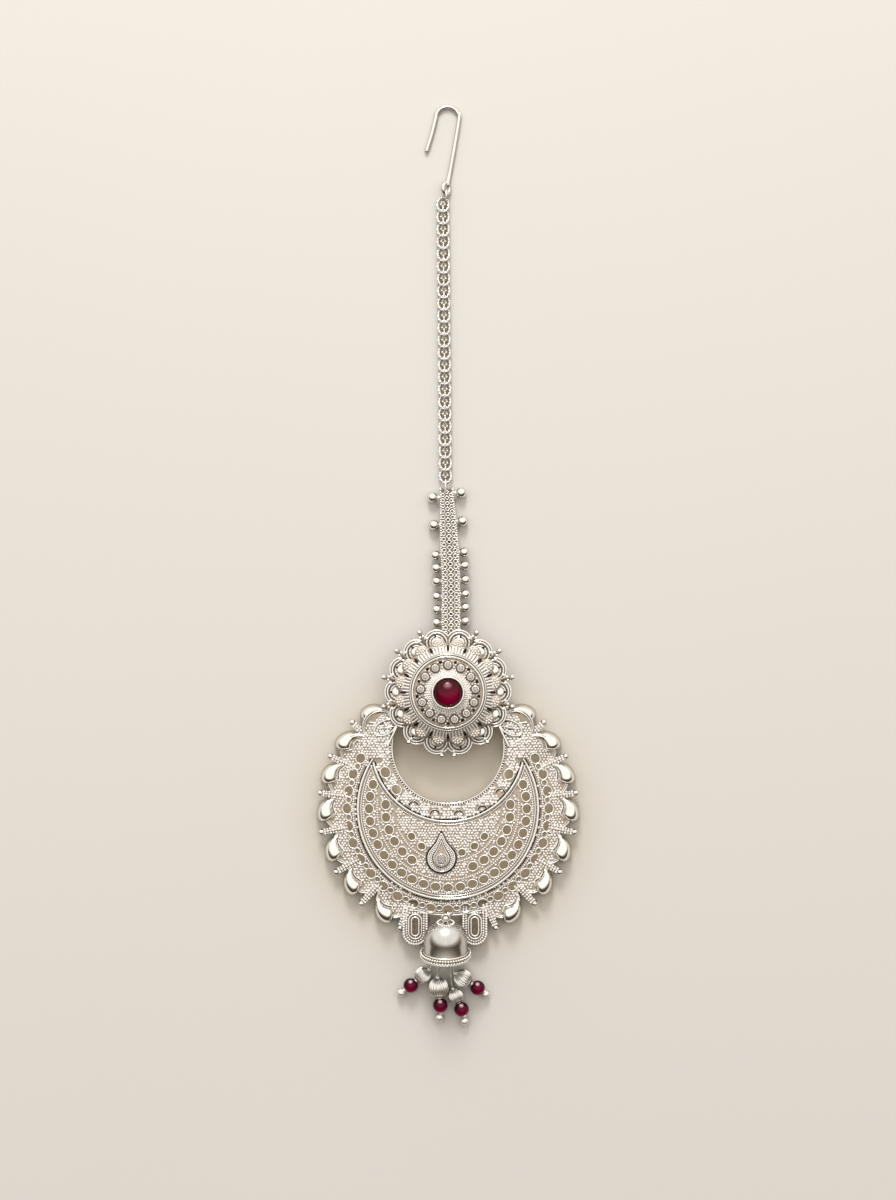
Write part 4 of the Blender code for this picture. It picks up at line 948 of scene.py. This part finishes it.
def build_crescent():
    holes, small = pierced_holes(), small_openings()
    loops = [oval(hole, 0.10) for hole in holes]
    rise = math.degrees(math.asin((HORN_TOP_Y - OPENING_Y) / OPENING_RADIUS))
    outline = np.concatenate([rim_line(), arc(OPENING_RADIUS, (0, OPENING_Y), rise, -180 - rise, 120)])
    # The plate's colour is painted shade, seen between its grains
    flat_plate("crescent_plate", outline, loops, PLATE_THICKNESS, plate_z, RECESS_SHADE, "crescent", 1.2)
    centre, inner_centre, opening = (0, CRESCENT_Y), (0, INNER_ARC_Y), (0, OPENING_Y)
    wires, bright, dark, gaps = (Batch() for _ in range(4))
    tube(bright, on_plate(arc(INNER_ARC_RADIUS, inner_centre, 193, 347, 140), 0.16), 0.24, 10)
    tube(bright, on_plate(arc(INNER_ARC_RADIUS + 0.50, inner_centre, 195, 345, 140), 0.06), 0.13, 8)
    tube(bright, on_plate(arc(OUTER_ARC_RADIUS, centre, 146, 394, 200), 0.16), 0.24, 10)
    tube(bright, on_plate(arc(OUTER_ARC_RADIUS - 0.50, centre, 148, 392, 200), 0.06), 0.13, 8)
    tube(bright, on_plate(arc(OPENING_RADIUS + 0.14, opening, rise - 2, -178 - rise, 180), -0.08), 0.17, 8)
    for hole in holes:
        tube(wires, on_plate(oval(hole, 0.20, 20), 0.10), 0.14, 8, closed=True)
    tube(wires, on_plate(rim_line(0.10), -0.02), 0.16, 8)
    tube(wires, on_plate(rim_line(0.46), 0.04), 0.11, 6)
    # Leaf at the foot of each horn, with a dark line of painted shadow just below each of its wires
    for side in (-1, 1):
        for path, thick in ((LEAF, 0.19), (LEAF_FOLD, 0.24), (LEAF_VEIN, 0.15)):
            line = rounded([(side * x, y, 0) for x, y in path], 6)[:, :2]
            tube(bright, on_plate(line, 0.20), thick, 8)
            tube(dark, on_plate(line + np.array([0.04 * side, -0.34]), 0.10), 0.10, 6)
    # Dark lines and small dark gaps of the filigree, all painted shade: near-black lines beside the wires,
    # and discs in the small openings coloured as the shaded floor seen through them
    tube(dark, on_plate(arc(OUTER_ARC_RADIUS + 0.34, centre, 146, 394, 200), 0.06), 0.08, 6)
    tube(dark, on_plate(arc(INNER_ARC_RADIUS - 0.34, inner_centre, 193, 347, 140), 0.06), 0.08, 6)
    tube(dark, on_plate(arc(OPENING_RADIUS + 0.40, opening, 158, 382, 180), 0.0), 0.10, 6)
    for hole in small:
        rim = on_plate(oval(hole, 0.0, 16), 0.12)
        middle = np.append(rim, [rim.mean(0)], 0)
        k = np.arange(16)
        gaps.add(middle, np.stack([k, (k + 1) % 16, np.full(16, 16)], 1))
        tube(wires, on_plate(oval(hole, 0.10, 16), 0.14), 0.13, 8, closed=True)
    for spot in MOONS:
        tube(dark, on_plate(arc(0.76, spot, 10, 170, 16), 0.08), 0.09, 6)
        tube(wires, on_plate(arc(0.90, spot, 5, 175, 16), 0.05), 0.07, 6)
    grains = Batch()
    for radius, first, last in BEAD_LINES:
        line = spaced(arc(radius, centre, first, last, 300), 0.40)
        keep = ~within(line[:, 0], line[:, 1], teardrop(1.12))
        keep &= np.hypot(line[:, 0], line[:, 1] - INNER_ARC_Y) > INNER_ARC_RADIUS + 0.7
        spheres(grains, on_plate(line[keep], 0.10), 0.18)
    bead_line = spaced(arc(OPENING_RADIUS + 0.40, opening, 158, 382, 200), 0.44)
    spheres(grains, on_plate(bead_line, 0.04), 0.15)
    spheres(grains, *granulation(holes, small))
    grains.make("crescent_grains", GRAINED)
    polished, border, stalks = Batch(), Batch(), Batch()
    build_border(polished, wires, border, stalks)
    polished.make("border_shells", POLISHED)
    tabs = Batch()
    for side in (-1, 1):
        build_tab(tabs, wires, border, TAB_MIDDLE + side * TAB_X)
    # The tab bodies are painted dark, as the shade under their grains and wires
    tabs.make("crescent_tabs", DARK_SHADE)
    build_teardrop(bright, border, dark)
    # Post that holds the bell
    crown = bell_place() @ Vector((0.0, 0.0, 0.6))
    top = (crown.x, crown.y, crown.z + 0.9)
    post = [(crown.x, crown.y + 0.6, PLATE_Z + 0.3), (crown.x, crown.y + 0.5, 2.4), tuple(crown), top]
    tube(wires, rounded(post, 5), 0.225, 8)
    spheres(wires, [top], 0.45, BALL)
    wires.make("crescent_wires", SATIN)
    bright.make("crescent_arcs", POLISHED)
    dark.make("crescent_gaps", PIT)
    gaps.make("crescent_openwork", OPEN)
    border.make("border_grains", GRAINED)
    stalks.make("border_stalks", RECESS_SHADE)


def build_tab(body, smooth, grains, x):
    """A tab with a rounded end: a beaded edge, nested wires and a slit between its ribs."""
    foot = TAB_Y + 5.2
    half = TAB_WIDTH / 2
    outline = np.concatenate([arc(half, (x, TAB_Y), 180, 360, 32), [(x + half, foot), (x - half, foot)]])
    low_ring = at_height(outline, 0.6)
    high_ring = at_height(outline, 1.80)
    n = len(outline)
    body.add(np.concatenate([low_ring, high_ring]), grid_faces(2, n, False, True)[:, ::-1])
    for ring, flip in ((low_ring, True), (high_ring, False)):
        points = np.concatenate([ring, [ring.mean(0)]])
        k = np.arange(n)
        fan = np.stack([k, (k + 1) % n, np.full(n, n)], 1)
        body.add(points, fan[:, ::-1] if flip else fan)
    for inset, step, grain in ((0.20, 0.42, 0.23), (0.66, 0.40, 0.19)):
        ends = [(x - half + inset, TAB_Y + 4.4)], [(x + half - inset, TAB_Y + 4.4)]
        edge = np.concatenate([ends[0], arc(half - inset, (x, TAB_Y), 180, 360, 30), ends[1]])
        spheres(grains, at_height(spaced(edge, step), 1.84), grain)
    low_edge = arc(half - 0.12, (x, TAB_Y), 175, 365, 24)
    spheres(grains, at_height(low_edge, 1.45), 0.2)
    for inset in (1.02, 1.48):
        ends = [(x - half + inset, TAB_Y + 2.0)], [(x + half - inset, TAB_Y + 2.0)]
        loop = np.concatenate([ends[0], arc(half - inset, (x, TAB_Y + 0.1), 180, 360, 20), ends[1]])
        over = arc(half - inset, (x, TAB_Y + 2.0), 0, 180, 16)[1:-1]
        tube(smooth, at_height(spaced(np.concatenate([loop, over]), 0.2), 1.93), 0.15, 8, closed=True)
    for k in range(3):
        row = np.linspace(x - half + 0.75, x + half - 0.75, 7)
        spheres(grains, np.column_stack([row, np.full(7, TAB_Y + 3.3 + 0.42 * k), np.full(7, 1.84)]), 0.2)


def teardrop_seat():
    return float(plate_z(TEARDROP_X, TEARDROP_Y)) + PLATE_THICKNESS + 0.35


def build_teardrop(bright, grains, dark):
    seat = teardrop_seat()
    # Dark rings beside the frame wires: painted shade
    tube(dark, at_height(teardrop(1.0), seat - 0.02), 0.12, 8, closed=True)
    tube(bright, at_height(teardrop(0.90), seat + 0.12), 0.15, 8, closed=True)
    spheres(grains, at_height(teardrop(0.79, 0.34), seat + 0.05), 0.17)
    spheres(grains, at_height(teardrop(0.66, 0.34), seat + 0.07), 0.17)
    stone_y = TEARDROP_Y - 0.17 * TEARDROP_LENGTH
    tube(dark, at_height(teardrop(0.58), seat + 0.30), 0.10, 8, closed=True)
    tube(bright, at_height(teardrop(0.50), seat + 0.44), 0.10, 8, closed=True)
    ring_at(bright, TEARDROP_X, stone_y, seat + 0.62, 0.90, 0.11, 32, 8)
    low = seat - PLATE_THICKNESS
    flat_plate("teardrop_floor", teardrop(0.97), [], PLATE_THICKNESS, lambda x, y: low, RECESS_SHADE)
    hole = arc(0.88, (TEARDROP_X, stone_y), 0, 345, 24)
    flat_plate("teardrop_dish", teardrop(0.58), [hole], 0.45, lambda x, y: seat, RECESS_SHADE)


def bell_place():
    lift = BELL_RIM * math.cos(BELL_TILT) + BELL_DEPTH * math.sin(BELL_TILT) + 0.02
    return Matrix.Translation((BELL_X, BELL_Y, lift)) @ Matrix.Rotation(-math.pi / 2 + BELL_TILT, 4, "X")


def bell_dome(radius, crown, angles):
    """Radius and height of a half oval from the crown down to the straight part of the wall."""
    fall = DOME_SHARE * BELL_DEPTH - crown
    return [(radius * math.sin(t), -crown - fall * (1 - math.cos(t))) for t in angles]


def build_bell():
    place = bell_place()
    shift = tuple(place.translation)
    outside, inside, rims = Batch(), Batch(), Batch()
    a = np.linspace(0.03, math.pi / 2, 20)
    profile = bell_dome(BELL_RADIUS, 0.0, a)
    profile += [(BELL_RADIUS, -0.80 * BELL_DEPTH), (BELL_RADIUS + 0.1, -0.84 * BELL_DEPTH)]
    turned(outside, profile, 96, shift, place)
    outside.make("bell_dome", BRUSHED, "bell")
    inner = BELL_RADIUS - BELL_WALL
    lip = -BELL_DEPTH + 0.1
    profile = [(BELL_RIM - 0.1, lip), (inner, lip), (inner, -DOME_SHARE * BELL_DEPTH)]
    profile += bell_dome(inner, BELL_WALL, a[::-1])
    turned(inside, profile, 96, shift, place)
    band = ((BELL_RADIUS, 0.80), (BELL_RIM - 0.22, 0.86), (BELL_RIM - 0.12, 0.99))
    turned(inside, [(radius, -share * BELL_DEPTH) for radius, share in band], 96, shift, place)
    # The inside of the bell is painted dark, as shade
    inside.make("bell_inside", DARK_SHADE, slot="bell")
    spheres(rims, hoop(BELL_RIM - 0.25, -0.96 * BELL_DEPTH, 52, place), 0.25)
    spheres(rims, hoop(BELL_RIM - 0.26, -0.88 * BELL_DEPTH, 56, place), 0.22)
    for radius, share in ((BELL_RIM - 0.18, 0.985), (BELL_RADIUS + 0.10, 0.83)):
        line = hoop(radius, -share * BELL_DEPTH, 90, place)
        tube(rims, line, 0.14, 8, closed=True, up=upward(place))
    # Beaded collar round the crown, the crown ring and the bar across the mouth
    spheres(rims, hoop(1.35, -0.12 * BELL_DEPTH + 0.55, 26, place), 0.20)
    turn = place @ Matrix.Translation((0.0, 0.0, 0.6)) @ Matrix.Rotation(math.pi / 2, 4, "X")
    twisted_ring(rims, 1.3, 1.3, turn, 0.14, 0.02, 1, 36)
    reach = math.sqrt((BELL_RADIUS - 0.5 * BELL_WALL) ** 2 - BAR_DROP ** 2)
    ends = [place @ Vector((side * reach, BAR_DROP, -0.80 * BELL_DEPTH)) for side in (-1, 1)]
    tube(rims, np.linspace(tuple(ends[0]), tuple(ends[1]), 6), 0.225, 10)
    rims.make("bell_rims", SATIN, slot="bell")


# Silver bead centre and width, red bead centre, end ball centre and width of each drop
DROPS = (
    ((-4.2, -68.37, 2.8), (-6.2, -70.09), (-7.77, -71.35, 1.5)),
    ((-1.58, -70.39, 3.5), (-1.28, -73.40), (-1.4, -75.52, 1.5)),
    ((1.3, -71.82, 2.6), (2.25, -74.05), (2.75, -76.12, 1.5)),
    ((2.5, -68.92, 3.2), (4.93, -70.49), (6.25, -71.62, 1.4)),
)
LIFT = 0.02


def bead_profile(width, bore, count):
    low = math.asin(bore / width)
    a = np.linspace(low, math.pi - low, count)
    return [(width / 2 * math.sin(t), width / 2 * math.cos(t)) for t in a]


def build_drops():
    bar = bell_place() @ Vector((0.0, BAR_DROP, -0.80 * BELL_DEPTH))
    for k, (pearl, red, end) in enumerate(DROPS, 1):
        pearl_at = Vector((pearl[0], pearl[1], pearl[2] / 2 + LIFT))
        red_at = Vector((red[0], red[1], RUBY_BEAD / 2 + LIFT))
        end_at = Vector((end[0], end[1], end[2] / 2 + LIFT))
        line = (red_at - pearl_at).normalized()
        spin = line.to_track_quat("Z", "Y").to_matrix()
        batch = Batch()
        turned(batch, bead_profile(pearl[2], 0.9, 28), 220, tuple(pearl_at), spin, 22, 0.13)
        batch.make(f"silver_bead_{k}", BEADED, f"drop_silver_{k}")
        batch = Batch()
        turned(batch, bead_profile(RUBY_BEAD, 0.9, 28), 64, tuple(red_at), spin)
        batch.make(f"red_bead_{k}", BEAD_RED, f"drop_ruby_{k}")
        batch = Batch()
        start = Vector((bar.x + (k - 2.5) * 0.9, bar.y - 0.425, bar.z))
        near = pearl_at - line * (pearl[2] / 2 + 0.25)
        tube(batch, rounded([start, near, pearl_at, red_at, end_at], 6), 0.18, 10)
        spheres(batch, [end_at], end[2] / 2, BALL)
        for at, width in ((pearl_at, pearl[2]), (red_at, RUBY_BEAD)):
            for way in (-1, 1):
                cap = at + line * way * (math.sqrt(width ** 2 / 4 - 0.2) + 0.06)
                spheres(batch, [cap], 0.42)
        batch.make(f"pin_{k}", SATIN, f"drop_pin_{k}")


def dress_stones():
    names = [f"side_stone_{k + 1:02d}" for k in range(SETTING_COUNT)] + ["teardrop_stone"]
    for name in names:
        node = frame["nodes"][name]
        node.data.materials.clear()
        node.data.materials.append(CLEAR)


def sky():
    """Bright overhead and towards +Y, dark near the horizon, as in a small studio with one big softbox."""
    world = bpy.data.worlds.new("studio")
    bpy.context.scene.world = world
    world.use_nodes = True
    tree = world.node_tree
    back = tree.nodes["Background"]
    way = shading(tree, "TexCoord").outputs["Generated"]
    split = shading(tree, "SeparateXYZ", (), {"Vector": way}).outputs
    height = shading(tree, "Math", {1: 0.65}, {0: split["Z"]}, operation="MULTIPLY").outputs["Value"]
    tilt = shading(tree, "Math", {1: 0.70}, {0: split["Y"], 2: height}, operation="MULTIPLY_ADD")
    ramp = shading(tree, "ValToRGB", (), {"Fac": tilt.outputs["Value"]})
    ramp.color_ramp.interpolation = "EASE"
    ends = ramp.color_ramp.elements
    ends[0].position = 0.0
    ends[0].color = (0.060, 0.048, 0.034, 1)
    ends[1].position = 0.50
    ends[1].color = (1.0, 0.975, 0.93, 1)
    ends.new(0.22).color = (0.29, 0.25, 0.20, 1)
    tree.links.new(ramp.outputs["Color"], back.inputs["Color"])
    back.inputs["Strength"].default_value = 1.12


def light(name, place, aim, size, power, colour):
    lamp = bpy.data.lights.new(name, "AREA")
    lamp.shape = "DISK"
    lamp.size = size
    lamp.energy = power
    lamp.color = colour
    obj = bpy.data.objects.new(name, lamp)
    bpy.context.scene.collection.objects.link(obj)
    obj.location = place
    obj.rotation_mode = "QUATERNION"
    obj.rotation_quaternion = (Vector(aim) - Vector(place)).to_track_quat("-Z", "Y")


def floor():
    """Pale paper, with a painted warm shadow near the crescent and a painted glow where light would fall
    through its openwork.
    """
    mesh = bpy.data.meshes.new("floor")
    far = 1.2
    mesh.from_pydata([(-far, -far, 0), (far, -far, 0), (far, far, 0), (-far, far, 0)], [], [(0, 1, 2, 3)])
    obj = bpy.data.objects.new("floor", mesh)
    bpy.context.scene.collection.objects.link(obj)
    made, tree, shader, place = new_material("paper")
    shader.inputs["Roughness"].default_value = 0.75
    plain = mixed(tree, noise(tree, place["Object"], 6.0), (0.765, 0.74, 0.70), (0.74, 0.705, 0.665))
    # Painted shadow: the paper darkens and warms within about 17 to 30 mm of the crescent
    below = distance(tree, place["Object"], (0.0, (CRESCENT_Y - 1.0 + SHIFT_Y) * 0.001, 0.0))
    far_off = mapped(tree, below, 0.017, 0.030, way="SMOOTHSTEP")
    tree.links.new(mixed(tree, far_off, (0.69, 0.635, 0.54), plain), shader.inputs["Base Color"])
    # Painted glow: the paper emits a warm light under the crescent's plate, and a little in its opening
    spread = []
    for y, near, far, first, last in ((CRESCENT_Y, 17.4, 18.6, 1.0, 0.0), (OPENING_Y, 9.2, 9.8, 0.22, 1.0)):
        reach = distance(tree, place["Object"], (0.0, (y + SHIFT_Y) * 0.001, 0.0))
        spread.append(mapped(tree, reach, near * 0.001, far * 0.001, first, last))
    painted_glow = shading(tree, "Math", (), dict(enumerate(spread)), operation="MULTIPLY")
    shader.inputs["Emission Color"].default_value = (0.19, 0.146, 0.084, 1)
    tree.links.new(painted_glow.outputs["Value"], shader.inputs["Emission Strength"])
    mesh.materials.append(made)


def camera():
    made = bpy.data.cameras.new("camera")
    made.sensor_width = 36
    made.lens = 36 * 0.55 / 0.2
    obj = bpy.data.objects.new("camera", made)
    bpy.context.scene.collection.objects.link(obj)
    obj.location = (0.0, -0.00582, 0.55)
    obj.rotation_euler = (0, 0, 0)
    bpy.context.scene.camera = obj


build_hook()
build_chain()
build_strap()
build_rosette()
build_ruby()
build_crescent()
build_bell()
build_drops()
dress_stones()
sky()
light("key", (-0.04, 0.55, 0.36), (0, 0, 0), 0.22, 2.5, (1.0, 0.985, 0.96))
floor()
camera()
bpy.context.scene.view_settings.view_transform = "Standard"
